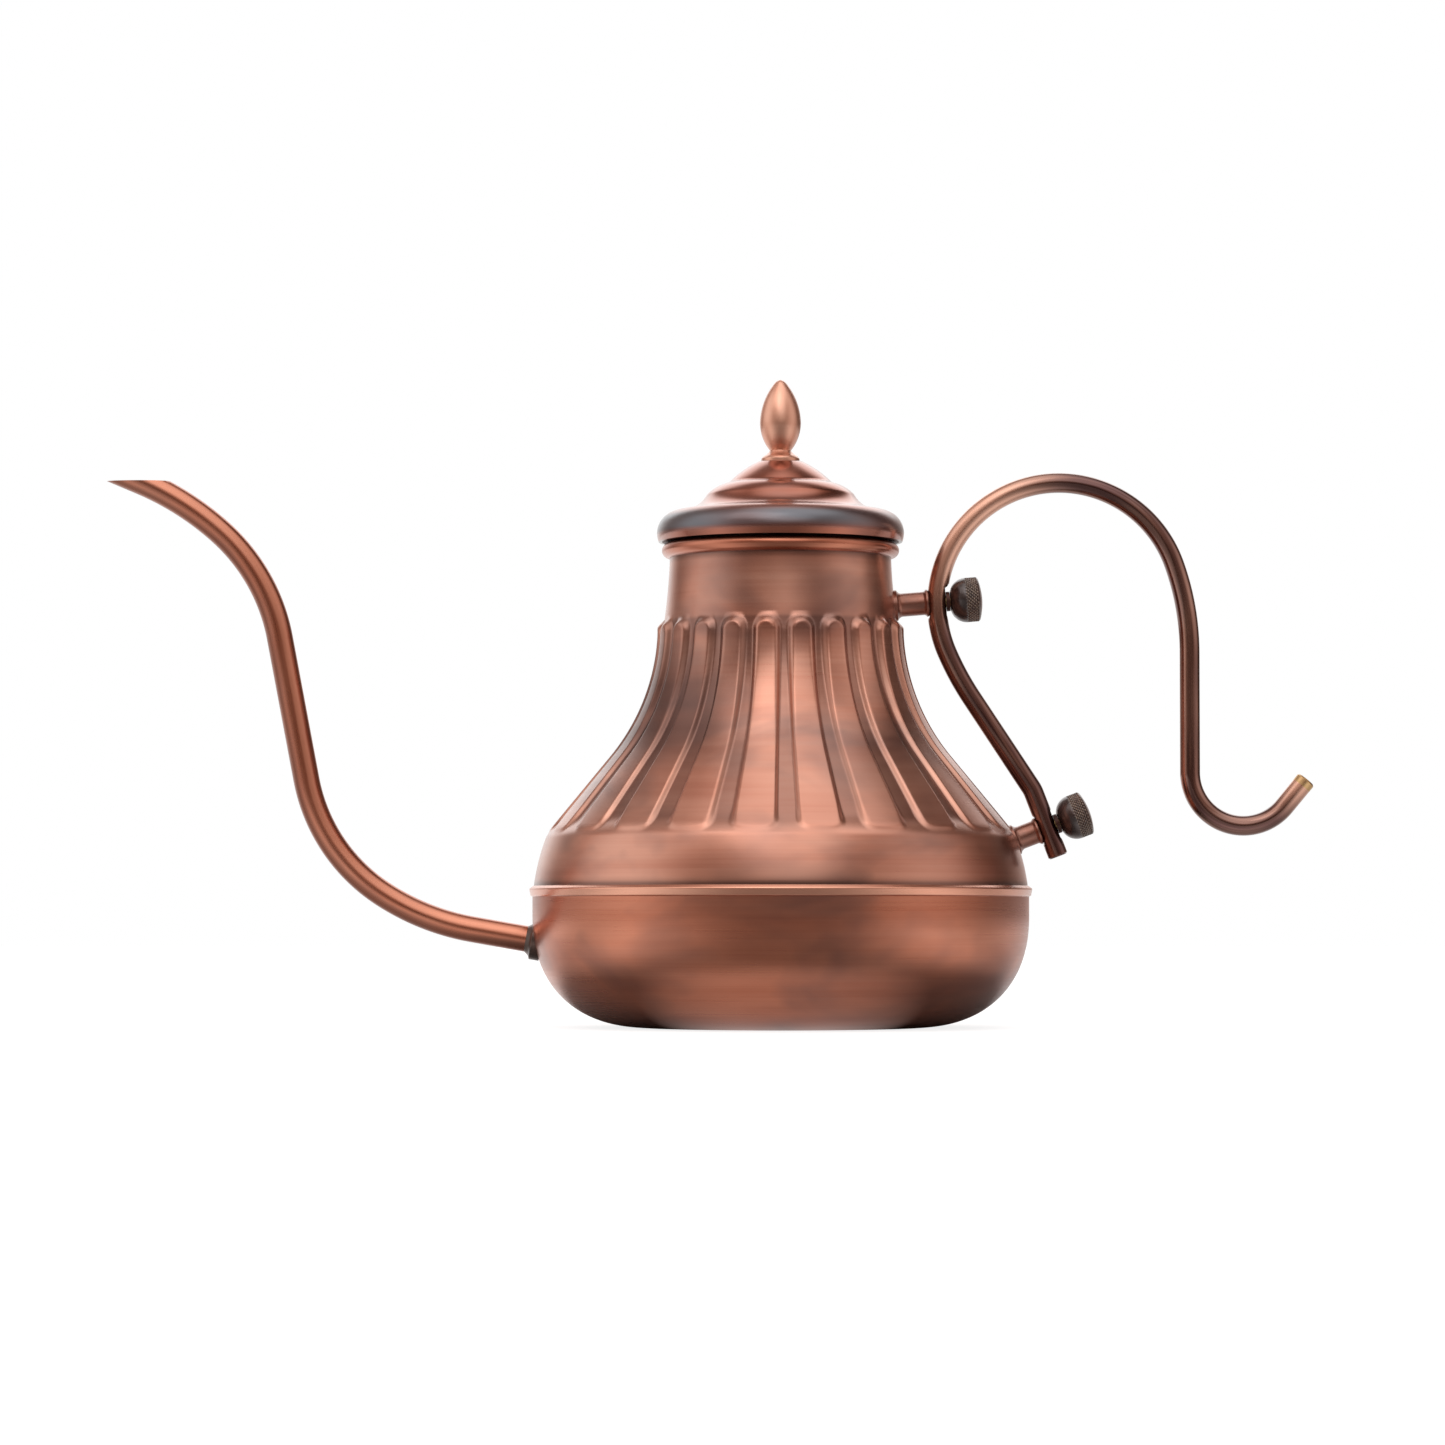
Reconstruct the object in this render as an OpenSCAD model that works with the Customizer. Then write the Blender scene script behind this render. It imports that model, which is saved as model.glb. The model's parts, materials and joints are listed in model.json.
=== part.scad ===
// Gooseneck pour-over kettle: fluted upper body clinched to a round bowl, long thin spout,
// bent-rod handle held by two thumb screws, and a lift-off lid with a turned finial.
// Millimetres, +Z up, origin at the middle of the flat bottom, handle toward +X, spout toward -X.

/* [Bowl] */
// Radius of the flat bottom, where the wall starts to curve up
base_r = 35; // [30:0.5:42]
// Largest outer radius of the bowl
body_r = 65.7; // [60:0.1:72]
// Height at which the bowl is widest
bowl_belly_h = 30; // [26:0.5:33]
// Height of the middle of the clinched seam
seam_h = 35.9; // [34:0.1:42]
// Fullness of the bowl's curve, 2 is an ellipse
bowl_fullness = 2.3; // [2:0.05:2.6]
// Sheet thickness of the bowl and of the upper body
wall = 0.8; // [0.6:0.05:1.2]

/* [Seam band] */
// How far the band stands out from the bowl
band_proud = 0.85; // [0.5:0.05:1.5]
// Height of the band
band_h = 2.4; // [1.8:0.1:3.5]

/* [Fluted upper body] */
// Radius over the crests of the flutes at the waist
crest_r = 32.7; // [31:0.1:36]
// Radius of the hollow sweep below the waist
sweep_r = 55; // [45:1:60]
// Steepness of the shoulder, in degrees from vertical
shoulder_slope = 39.5; // [36:0.5:44]
// Radius of the tight turn at the foot of the shoulder
turn_r = 13; // [9:0.5:18]
// Angle from vertical at which the tight turn ends
turn_end = 20; // [16:0.5:24]
// Radius of the long curve down to the seam
skirt_r = 58.5; // [45:0.5:75]
// Number of flutes
flutes = 22; // [16:1:26]
// Share of the flute pitch taken by the groove
groove_share = 0.34; // [0.26:0.01:0.45]
// Depth of the grooves
groove_depth = 1.35; // [0.8:0.05:1.6]
// Rounding of the panels' lower corners
panel_corner = 2.4; // [1.2:0.1:3.5]
// Height of the panels' rounded heads above the waist
flute_over = 4.3; // [3:0.1:5]
// Angle by which the whole pattern is turned
flute_turn = 1; // [-5:0.5:5]

/* [Neck and mouth] */
// Height of the neck above the waist
neck_h = 20.6; // [18:0.1:26]
// Outer radius at the top of the neck
neck_r = 29.4; // [29:0.1:30.2]
// Height of the rolled mouth ring
ring_h = 4; // [3:0.1:5]
// How far the mouth ring stands out from the neck
ring_proud = 2.1; // [1.4:0.1:2.6]
// Thickness of the sleeve inside the mouth ring
sleeve_t = 0.5; // [0.4:0.05:0.8]

/* [Spout] */
// Height of the spout's centre where it leaves the bowl
spout_h = 23; // [21:0.1:25]
// Outer radius of the spout tube
spout_r = 3.45; // [3:0.05:4]
// Wall of the spout tube
spout_wall = 0.6; // [0.4:0.05:0.9]
// Rise of the first straight stretch, in degrees
spout_rise = 10; // [6:0.5:14]
// Length of the first straight stretch
spout_foot_l = 16.6; // [14:0.1:20]
// Radius of the gentle start of the lower bend
spout_bend1_r = 64; // [50:1:80]
// Radius of the tighter rest of the lower bend
spout_bend2_r = 46.5; // [35:0.5:60]
// Length of the upright straight stretch
spout_leg_l = 38.4; // [30:0.1:50]
// Radius of the start of the upper bend
spout_bend3_r = 50.4; // [40:0.5:60]
// Radius of the flattening end of the upper bend
spout_bend4_r = 77; // [60:1:95]
// Height of the level cut at the tip above the end of the upper bend
tip_cut_h = 0.1; // [-1:0.1:1]
// Radius of the collar soldered round the spout's foot
collar_r = 5.2; // [4.9:0.1:6.5]
// Thickness of that collar
collar_t = 1.1; // [0.8:0.1:2]

/* [Handle] */
// Radius of the handle rod
rod_r = 2.65; // [2.4:0.05:3]
// Free length of the rod below the lower screw
tail_l = 7.8; // [6:0.1:11]
// Length of the rod from the lower screw to the first bend
heel_l = 9.7; // [6:0.1:14]
// Radius of the small first bend
heel_bend_r = 9; // [7:0.5:14]
// Turn of the first bend, away from the body
heel_bend_a = 12.4; // [8:0.2:16]
// Radius of the easy bend into the loop
ease_r = 77; // [60:1:95]
// Turn of the easy bend
ease_a = 10; // [6:0.5:14]
// Radius of the loop
loop_r = 32.4; // [29:0.1:36]
// Radius of the bend from the loop into the grip
grip_bend_r = 70; // [50:1:90]
// Turn of that bend
grip_bend_a = 19.6; // [14:0.2:26]
// Length of the upright grip
grip_l = 32; // [22:0.5:50]
// Radius of the hook at the grip's foot
hook_r = 14.1; // [11:0.1:18]
// Turn of the hook
hook_a = 140.5; // [110:0.5:150]
// Straight end of the hook
hook_end_l = 8.8; // [5:0.1:14]

/* [Stand-offs and thumb screws] */
// Radius of the stand-offs
post_r = 3.1; // [2.8:0.05:3.6]
// Radius of the collar at the rod
post_collar_r = 3.6; // [3.4:0.05:4.2]
// Thickness of the collar at the rod
post_collar_t = 0.8; // [0.5:0.1:1.4]
// Radius of the flared foot at the wall
post_foot_r = 4.1; // [3.8:0.05:4.6]
// Length of the lower stand-off from the wall to the rod's flat
lower_post_l = 6.6; // [5.4:0.1:9]
// Slope of the upper stand-off, in degrees
upper_tilt = 4.5; // [2:0.5:7]
// Depth below the neck's top at which the upper stand-off meets the wall
upper_drop = 12.6; // [11.5:0.1:13]
// How far the loop's side lies below the upper screw
loop_drop = 0.6; // [0:0.1:2]
// Depth of the flats filed on the rod at the screws
flat_cut = 0.35; // [0.2:0.05:0.6]
// Radius of the screw shank
shank_r = 1.5; // [1.25:0.05:1.6]
// Length of thread inside each stand-off
thread_l = 4.8; // [4:0.1:4.8]
// Thread pitch
pitch = 0.5; // [0.35:0.05:0.7]
// Radius of the thumb-screw washers
washer_r = 2.6; // [2.4:0.05:3.4]
// Thickness of those washers
washer_t = 0.9; // [0.6:0.1:1.4]
// Radius of the knurled knobs
knob_r = 5.9; // [5.2:0.1:7]
// Length of the knobs
knob_l = 8.5; // [7.6:0.1:10]
// Rise of the knob's domed end
knob_crown = 0.9; // [0.5:0.1:1.4]

/* [Lid] */
// Radius of the rolled rim's section
rim_r = 6; // [5:0.1:7]
// Overall radius of the lid
lid_r = 32.8; // [32.4:0.1:34.5]
// Radius of the raised disc on the lid
disc_r = 19.6; // [17:0.1:22]
// Height of the disc's edge above the rim
disc_rise = 4.3; // [3:0.1:5.5]
// Radius at which the centre dome starts
dome_r = 13.9; // [12:0.1:16]
// Height of the dome's foot above the disc's edge
dome_foot = 3.1; // [2.5:0.1:4]
// Height of the dome's top above its foot
dome_h = 5.7; // [4.5:0.1:7]
// Sheet thickness of the lid
lid_t = 0.8; // [0.6:0.05:1.1]
// Depth of the sleeve that enters the mouth
skirt_h = 9; // [6:0.5:12]

/* [Finial] */
// Radius of the finial's seat
finial_seat_r = 5.1; // [4.5:0.1:5.8]
// Radius of its neck
finial_neck_r = 2.8; // [2.6:0.1:3.4]
// Largest radius of the drop
finial_r = 5.45; // [4.8:0.05:7]
// Height of the finial
finial_h = 21.9; // [19:0.1:26]
// Depth of the screw in the finial
finial_thread = 7; // [5:0.5:9]

/* [Fits] */
// Gap between the lid's rim and the mouth ring
lid_gap = 0.3; // [0.25:0.05:0.5]
// Gap between the lid's sleeve and the mouth
sleeve_gap = 0.5; // [0.35:0.05:0.8]
// Gap between washers, knobs and the rod
seat_gap = 0.15; // [0.1:0.05:0.3]
// Gap round each screw shank
run_gap = 0.05; // [0.03:0.01:0.1]
// Gap between soldered and pressed pieces
solder_gap = 0.02; // [0.01:0.01:0.05]

/* [Hidden] */
$fn = 96;
eps = 0.01;

// ---- Bowl ----
function bowl_r(z) = base_r + (body_r - base_r)
    * pow(1 - pow(abs(bowl_belly_h - z) / bowl_belly_h, bowl_fullness), 1 / bowl_fullness);
bowl_steps = 22;
seam_edge = 0.4;
bowl_top = seam_h - band_h / 2 + seam_edge;
bead_h = 0.3;
// Heights crowd together near the bottom, where the curve is tightest.
bowl_z = [for (i = [1:bowl_steps]) bowl_belly_h * (1 - cos(90 * i / bowl_steps))];
function bowl_wall(inset) = concat(
    [[base_r, inset]],
    [for (z = bowl_z) if (z > 1.6 * inset) [bowl_r(z) - inset, z]],
    [[body_r - inset, bowl_top]]);

// ---- Upper body: meridian as [radius, height]; lean is the wall's angle from vertical ----
seam_lean = 8;
waist_lean = 3;
skirt_foot = [body_r - seam_edge, seam_h + band_h / 2 + seam_edge + bead_h];
skirt_top = skirt_foot + skirt_r * [cos(turn_end) - cos(seam_lean), sin(turn_end) - sin(seam_lean)];
turn_top = skirt_top + turn_r * [cos(shoulder_slope) - cos(turn_end),
                                 sin(shoulder_slope) - sin(turn_end)];
sweep_foot_r = crest_r + sweep_r * (cos(waist_lean) - cos(shoulder_slope));
sweep_foot_z = turn_top[1] + (turn_top[0] - sweep_foot_r) / tan(shoulder_slope);
waist_z = sweep_foot_z + sweep_r * (sin(shoulder_slope) - sin(waist_lean));
neck_top = waist_z + neck_h;
flute_top_z = waist_z + flute_over;
panel_foot_z = skirt_top[1] + 1.8;

function rounded(from, r, a0, a1, n) =
    [for (i = [0:n]) let (a = a0 + (a1 - a0) * i / n) from + r * [cos(a) - cos(a0), sin(a) - sin(a0)]];
function hollow(r, a0, a1, n) =
    [for (i = [0:n]) let (a = a0 + (a1 - a0) * i / n)
        [crest_r + r * (cos(waist_lean) - cos(a)), waist_z - r * (sin(a) - sin(waist_lean))]];
function neck_at(z) = neck_r + (crest_r - groove_depth - neck_r) * pow((neck_top - z) / neck_h, 1.5);
function tail(list) = [for (i = [1:len(list) - 1]) list[i]];

// Crest meridian from the seam to the waist.
crest_pts = concat(
    [[skirt_foot[0], bowl_top]],
    rounded(skirt_foot, skirt_r, seam_lean, turn_end, 3),
    tail(rounded(skirt_top, turn_r, turn_end, shoulder_slope, 5)),
    [for (k = [0.09, 0.4, 0.7]) turn_top * (1 - k) + [sweep_foot_r, sweep_foot_z] * k],
    hollow(sweep_r, shoulder_slope, waist_lean, 6));
// Above the waist the crests stay upright, then round off into the neck.
over_pts = [for (k = [0.45, 0.8, 1]) [crest_r, waist_z + flute_over * k]];
neck_pts = [for (k = [0.04, 0.35, 0.65, 1]) let (z = flute_top_z + (neck_top - flute_top_z) * k)
    [neck_at(z), z]];

// How far the surface lies below the panels' crests, from 0 to 1, at ring point p and angle a
// from a groove's middle. Panels have round heads and rounded lower corners, and the grooves
// between them fade out at the panels' feet.
flute_a = 360 / flutes;
groove_edge = 0.65;
fade_up = 3.5;
fade_down = 2.5;
function blend(x) = let (t = max(0, min(1, x))) t * t * (3 - 2 * t);
function past_panel(w, up, c) = let (x = w + c, y = c - up)
    norm([max(x, 0), max(y, 0)]) + min(max(x, y), 0) - c;
function groove(p, a) =
    let (mm = p[0] * PI / 180,
         crest_half = flute_a * (1 - groove_share) / 2 * mm,
         across = flute_a / 2 * mm - abs(a) * mm,
         above = max(0, p[1] - flute_top_z + crest_half),
         up = (p[1] - panel_foot_z) / cos(shoulder_slope),
         past = above > 0 ? norm([across, above]) - crest_half
                          : past_panel(across - crest_half, up, panel_corner))
    blend((past + groove_edge) / (2 * groove_edge)) * blend((up + fade_down) / (fade_up + fade_down));
function floor_r(p) = p[1] > waist_z ? neck_at(p[1]) : p[0] - groove_depth;
edge_at = groove_share / 2;
flute_angles = [for (k = [-edge_at - 0.065, -edge_at, -edge_at + 0.065,
                          edge_at - 0.065, edge_at, edge_at + 0.065, 0.5]) k * flute_a];
ring_angles = [for (f = [0:flutes - 1], a = flute_angles) [f * flute_a + a, a]];
first_groove = -90 + flute_turn;
function polar(r, a, z) = [r * cos(first_groove + a), r * sin(first_groove + a), z];
function fluted_ring(p) = [for (t = ring_angles)
    polar(p[0] - groove(p, t[1]) * (p[0] - floor_r(p)), t[0], p[1])];
function plain_ring(p) = [for (t = ring_angles) polar(p[0], t[0], p[1])];
// A coarser ring for the inside, whose flats just clear the radius.
function coarse_ring(p) = [for (i = [0:3 * flutes - 1])
    polar(p[0] / cos(flute_a / 6), i * flute_a / 3, p[1])];
module skin(rings) {
    n = len(rings[0]);
    m = len(rings);
    polyhedron(
        points = [for (r = rings, p = r) p],
        faces = concat(
            [[for (i = [0:n - 1]) i]], [[for (i = [n - 1:-1:0]) (m - 1) * n + i]],
            [for (k = [0:m - 2], i = [0:n - 1])
                let (a = k * n + i, b = k * n + (i + 1) % n) each [[a, a + n, b + n], [a, b + n, b]]]),
        convexity = 6);
}
sleeve_depth = 3;
// Inside of the upper body: a plain round hollow, one wall thickness inside the groove floors.
hollow_pts = concat(
    [[skirt_foot[0] - wall, bowl_top - wall]],
    [for (i = [2, 4]) crest_pts[i] - [wall + seam_edge, 0]],
    [crest_pts[9] - [wall + groove_depth, 0]],
    [for (p = hollow(sweep_r, shoulder_slope, waist_lean, 4)) p - [wall + groove_depth, 0]],
    [for (k = [0, 0.35, 0.65]) let (z = flute_top_z + (neck_top - flute_top_z) * k) [neck_at(z) - wall, z]],
    [[neck_r - wall, neck_top - sleeve_depth - sleeve_t], [neck_r - wall, neck_top + wall]]);

// ---- Paths in the XZ plane: places [x, z, heading], segments [length] or [radius, turn] ----
function step(p, s) = len(s) == 1
    ? [p[0] + s[0] * cos(p[2]), p[1] + s[0] * sin(p[2]), p[2]]
    : let (q = sign(s[1]), h = p[2] + s[1])
      [p[0] + q * s[0] * (sin(h) - sin(p[2])), p[1] - q * s[0] * (cos(h) - cos(p[2])), h];
function walk(p, segs, i = 0) = i == len(segs) ? [p] : concat([p], walk(step(p, segs[i]), segs, i + 1));
module at(p) translate([p[0], 0, p[1]]) rotate([0, 90 - p[2], 0]) children();
// A round bar along a path. Each bend is a hair slimmer than its neighbours and runs a little
// way into them, so the pieces join into one clean solid.
bend_slim = 0.03;
bend_lap = 0.15;
module bend(radius, turn, r) {
    lap = bend_lap / radius * 180 / PI;
    mirror([turn < 0 ? 1 : 0, 0, 0]) translate([-radius, 0, 0]) rotate([90, 0, 0]) rotate([0, 0, -lap])
        rotate_extrude(angle = abs(turn) + 2 * lap) translate([radius, 0]) circle(r);
}
module bent_rod(start, segs, r) {
    places = walk(start, segs);
    for (i = [0:len(segs) - 1]) at(places[i])
        if (len(segs[i]) == 1) cylinder(h = segs[i][0], r = r);
        else bend(segs[i][0], segs[i][1], r - bend_slim * (1 + i % 2));
}

// ---- Spout ----
spout_root = 1.6;
fillet_h = 0.9;
spout_bore_r = spout_r - spout_wall;
spout_at_wall = [-bowl_r(spout_h), spout_h, 180 - spout_rise];
function spout_from(back) = step(spout_at_wall, [-back]);
function spout_run(back, end) = [[spout_foot_l + back], [spout_bend1_r, -23.2], [spout_bend2_r, -46],
    [spout_leg_l], [spout_bend3_r, 37.7], [spout_bend4_r, 18.5], [end]];
tip_over = 4.2 * spout_r;
spout_end = walk(spout_at_wall, spout_run(0, 1))[6];
tip_z = spout_end[1] + tip_cut_h;

// ---- Stand-offs, screws and handle ----
rod_flat = rod_r - flat_cut;
spot_r = post_collar_r * 7 / 6;
hole_r = shank_r + run_gap;
foot_flare = 1.5;
foot_root = 2;
tap_l = thread_l + 0.4;
// The lower stand-off stands square to the wall where the tight turn of the shoulder ends.
lower_tilt = turn_end + 1;
lower_point = skirt_top + (lower_post_l + rod_flat) * [cos(lower_tilt), sin(lower_tilt)];
lower_axis = [lower_point[0], lower_point[1], lower_tilt];
upper_wall = [neck_at(neck_top - upper_drop), neck_top - upper_drop];
// The straight leg is as long as it takes for the loop to reach the upper stand-off.
leg_heading = 90 + lower_tilt + heel_bend_a;
leg_from = walk([lower_point[0], lower_point[1], 90 + lower_tilt], [[heel_l], [heel_bend_r, heel_bend_a]])[2];
loop_side = walk([0, 0, leg_heading], [[ease_r, -ease_a], [loop_r, 90 + ease_a - leg_heading]])[2];
short_of = [leg_from[0] + loop_side[0], leg_from[1] + loop_side[1] + loop_drop] - upper_wall;
leg_l = (short_of[0] * tan(upper_tilt) - short_of[1])
    / (sin(leg_heading) - cos(leg_heading) * tan(upper_tilt));
upper_point = upper_wall + short_of + leg_l * [cos(leg_heading), sin(leg_heading)];
upper_axis = [upper_point[0], upper_point[1], upper_tilt];
upper_post_l = (upper_point[0] - upper_wall[0]) / cos(upper_tilt) - rod_flat;
tail_end = step([lower_point[0], lower_point[1], 90 + lower_tilt], [-tail_l]);
rod_chamfer = 0.4;
// The loop turns until the grip stands upright.
handle_run = [[tail_l + heel_l], [heel_bend_r, heel_bend_a], [leg_l], [ease_r, -ease_a],
    [loop_r, ease_a + grip_bend_a - leg_heading - 90], [grip_bend_r, -grip_bend_a], [grip_l],
    [hook_r, hook_a], [hook_end_l]];
washer_at = rod_flat + seat_gap;
knob_at = washer_at + washer_t + seat_gap;
knob_bore = 5;
knob_edge = 0.4;
knob_dome = 0.48;
knob_neck_r = washer_r - 0.1;

// ---- Mouth and lid ----
mouth_r = neck_r - wall - solder_gap;
sleeve_in_r = mouth_r - sleeve_t;
lid_z = neck_top + ring_h + lid_gap;
rim_drop = 2.3;
rim_c = [lid_r - rim_r, lid_z + rim_drop];
disc_edge = rim_c + [disc_r - lid_r + rim_r, rim_r + disc_rise];
dome_foot_at = [dome_r, disc_edge[1] + dome_foot];
seat_z = dome_foot_at[1] + dome_h;
seat_edge = [finial_seat_r + 0.9, seat_z];
under_z = seat_z - lid_t;
finial_rim_h = 0.8;
finial_rim_in = 0.6;
finial_cone_h = 1.5;
finial_foot_h = 3;
finial_belly = 0.47;
finial_nose = [1.6, 1];
function rim_pts(inset) = let (r = rim_r - inset, a0 = -asin(rim_drop / r))
    [for (i = [0:10]) let (a = a0 + (90 - a0) * i / 10) rim_c + r * [cos(a), sin(a)]];
// Points of an arc from p to q that turns by a degrees, without p itself; a > 0 turns left.
function arc(p, q, a, n) =
    let (c = q - p, r = norm(c) / (2 * sin(a / 2)), h = atan2(c[1], c[0]) - a / 2)
    [for (i = [1:n]) p + r * [sin(h + a * i / n) - sin(h), cos(h) - cos(h + a * i / n)]];
function lid_side(inset) =
    let (rim = rim_c + [0, rim_r - inset], disc = disc_edge - inset * [0.87, 0.5],
         dome = dome_foot_at - inset * [0.5, 0.87])
    concat(rim_pts(inset), arc(rim, disc, -60, 8), arc(disc, dome, 38, 6),
        arc(dome, seat_edge - [0, inset], 20, 5));
finial_shape = let (cone = [finial_seat_r - finial_rim_in, seat_z + finial_cone_h],
                    foot = [finial_neck_r, seat_z + finial_foot_h],
                    belly = [finial_r, seat_z + finial_belly * finial_h],
                    nose = [finial_nose[0], seat_z + finial_h - finial_nose[1]])
    concat([[0, seat_z], [finial_seat_r, seat_z], [finial_seat_r, seat_z + finial_rim_h], cone],
        arc(cone, foot, -40, 4), arc(foot, belly, 38, 8), arc(belly, nose, 38, 10),
        arc(nose, [0, seat_z + finial_h], 40, 3));

module reverse_ring(outer, inner)
    rotate_extrude() polygon(concat(outer, [for (i = [len(inner) - 1:-1:0]) inner[i]]));
// The walls' outsides, a hair larger, which shape the feet of what is soldered on.
module body_outside() rotate_extrude($fn = 240) polygon(concat([[0, bowl_top]],
    [for (p = concat(crest_pts, [[crest_r, flute_top_z]], neck_pts)) p + [solder_gap, 0]],
    [[0, neck_top]]));
module bowl_outside() rotate_extrude($fn = 240)
    polygon(concat([[0, -solder_gap]], bowl_wall(-solder_gap), [[0, bowl_top]]));
module spout_hole() at(spout_at_wall) translate([0, 0, -2 * spout_r])
    cylinder(h = 4 * spout_r, r = spout_r + solder_gap);
module standoff(axis, length) difference() {
    at(axis) mirror([0, 0, 1]) translate([0, 0, rod_flat]) {
        cylinder(h = post_collar_t, r = post_collar_r);
        cylinder(h = length + foot_root, r = post_r);
        translate([0, 0, length - foot_flare]) cylinder(h = foot_flare, r1 = post_r, r2 = post_foot_r);
        translate([0, 0, length]) cylinder(h = foot_root, r = post_foot_r);
    }
    at(axis) mirror([0, 0, 1]) translate([0, 0, rod_flat - rod_r]) cylinder(h = rod_r + tap_l, r = hole_r);
    body_outside();
}
module washer(axis) at(axis) translate([0, 0, washer_at]) difference() {
    cylinder(h = washer_t, r = washer_r);
    translate([0, 0, -washer_t]) cylinder(h = 3 * washer_t, r = hole_r);
}
module knob(axis) at(axis) translate([0, 0, knob_at]) difference() {
    rim = [knob_r - knob_edge, knob_l - knob_crown];
    crown_a = 2 * atan2(knob_crown, rim[0]);
    rotate_extrude() polygon(concat([[0, 0], [knob_neck_r, 0]],
        arc([knob_neck_r, 0], [knob_r, knob_dome * knob_l], 75, 8),
        [[knob_r, rim[1] - knob_edge], rim], arc(rim, [0, knob_l], crown_a, 5)));
    translate([0, 0, -knob_l]) cylinder(h = knob_l + knob_bore, r = shank_r + solder_gap);
}
module screw(axis) at(axis) translate([0, 0, -rod_flat - thread_l]) {
    cylinder(h = pitch, r1 = shank_r - pitch, r2 = shank_r);
    translate([0, 0, pitch]) cylinder(h = thread_l + rod_flat + knob_at + knob_bore - pitch, r = shank_r);
}

module lower_bowl() color("#9a5a44") difference() {
    reverse_ring(concat([[0, 0]], bowl_wall(0)), concat([[0, wall]], bowl_wall(wall)));
    spout_hole();
}
module seam_band() color("#a8644c") rotate_extrude() translate([body_r + solder_gap, seam_h - band_h / 2])
    polygon([[0, -bead_h], [band_proud, bead_h], [band_proud, band_h - bead_h], [0, band_h + bead_h]]);
module upper_body() color("#b06a50") difference() {
    skin(concat([for (p = concat(crest_pts, over_pts)) fluted_ring(p)],
        [for (p = neck_pts) plain_ring(p)]));
    skin([for (p = hollow_pts) coarse_ring(p)]);
}
module mouth_ring() color("#b87058") rotate_extrude() {
    bead_r = ring_h / 2;
    bead_c = [neck_r + ring_proud - bead_r, neck_top + bead_r];
    difference() {
        union() {
            translate(bead_c) circle(bead_r);
            translate([sleeve_in_r, neck_top]) square([bead_c[0] - sleeve_in_r, ring_h]);
        }
        translate([sleeve_in_r - ring_h, neck_top - bead_r]) square([ring_h, 2 * ring_h]);
    }
    translate([sleeve_in_r, neck_top - sleeve_depth]) square([sleeve_t, sleeve_depth + bead_r / 2]);
}
module spout_tube() color("#a4644c") difference() {
    bent_rod(spout_from(spout_root), spout_run(spout_root, tip_over), spout_r);
    bent_rod(spout_from(2 * spout_root), spout_run(2 * spout_root, tip_over + spout_r), spout_bore_r);
    translate([spout_end[0] - 7 * spout_r, -2 * spout_r, tip_z]) cube(spout_r * [12, 4, 6]);
}
module spout_collar() color("#8a5a48") difference() {
    at(spout_at_wall) translate([0, 0, -spout_r]) {
        cylinder(h = spout_r + collar_t, r = collar_r);
        translate([0, 0, spout_r + collar_t])
            cylinder(h = fillet_h, r1 = collar_r - fillet_h / 2, r2 = spout_r + fillet_h / 3);
    }
    spout_hole();
    bowl_outside();
}
module upper_standoff() color("#6a3a30") standoff(upper_axis, upper_post_l);
module lower_standoff() color("#6a3a30") standoff(lower_axis, lower_post_l);
module handle_rod() color("#7a4838") difference() {
    union() {
        bent_rod(tail_end, handle_run, rod_r);
        at(tail_end) mirror([0, 0, 1]) cylinder(h = rod_chamfer, r1 = rod_r, r2 = rod_r - rod_chamfer);
        at(walk(tail_end, handle_run)[9]) cylinder(h = rod_chamfer, r1 = rod_r, r2 = rod_r - rod_chamfer);
    }
    for (axis = [upper_axis, lower_axis]) at(axis) {
        translate([0, 0, -2 * rod_r]) cylinder(h = 4 * rod_r, r = hole_r);
        for (s = [0, 1]) mirror([0, 0, s]) translate([0, 0, rod_flat]) cylinder(h = rod_r, r = spot_r);
    }
}
module upper_washer() color("#c8a070") washer(upper_axis);
module upper_knob() color("#2c201c") knob(upper_axis);
module upper_screw() color("#b09060") screw(upper_axis);
module lower_washer() color("#c8a070") washer(lower_axis);
module lower_knob() color("#2c201c") knob(lower_axis);
module lower_screw() color("#b09060") screw(lower_axis);
module lid_shell() color("#b4705a") reverse_ring(
    concat(lid_side(0), [[hole_r, seat_z]]), concat(lid_side(lid_t), [[hole_r, under_z]]));
module lid_sleeve() color("#b8b0a8") rotate_extrude() {
    flange_r = rim_c[0] + sqrt(pow(rim_r - lid_t, 2) - pow(rim_drop, 2)) - solder_gap;
    out_r = sleeve_in_r - sleeve_gap;
    translate([out_r - lid_t, lid_z - skirt_h]) square([lid_t, skirt_h + lid_t]);
    translate([out_r - lid_t, lid_z]) square([flange_r - out_r + lid_t, lid_t]);
}
module finial() color("#b4745c") difference() {
    rotate_extrude() polygon(finial_shape);
    translate([0, 0, seat_z - lid_t]) cylinder(h = lid_t + finial_thread + lid_gap, r = hole_r);
}
module finial_washer() color("#b8b0a8") translate([0, 0, under_z - washer_t]) difference() {
    cylinder(h = washer_t, r = finial_seat_r);
    translate([0, 0, -washer_t]) cylinder(h = 3 * washer_t, r = hole_r);
}
module finial_screw() color("#b0a898") translate([0, 0, under_z - washer_t]) difference() {
    head_h = 1.2 * shank_r;
    union() {
        translate([0, 0, -eps]) cylinder(h = washer_t + lid_t + finial_thread + eps, r = shank_r);
        translate([0, 0, -head_h]) cylinder(h = head_h, r = 2 * shank_r);
    }
    translate([-3 * shank_r, -shank_r / 4, -1.5 * head_h]) cube([6 * shank_r, shank_r / 2, head_h]);
}

lower_bowl();
seam_band();
upper_body();
mouth_ring();
spout_tube();
spout_collar();
upper_standoff();
lower_standoff();
handle_rod();
upper_washer();
upper_knob();
upper_screw();
lower_washer();
lower_knob();
lower_screw();
lid_shell();
lid_sleeve();
finial();
finial_washer();
finial_screw();
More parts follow.
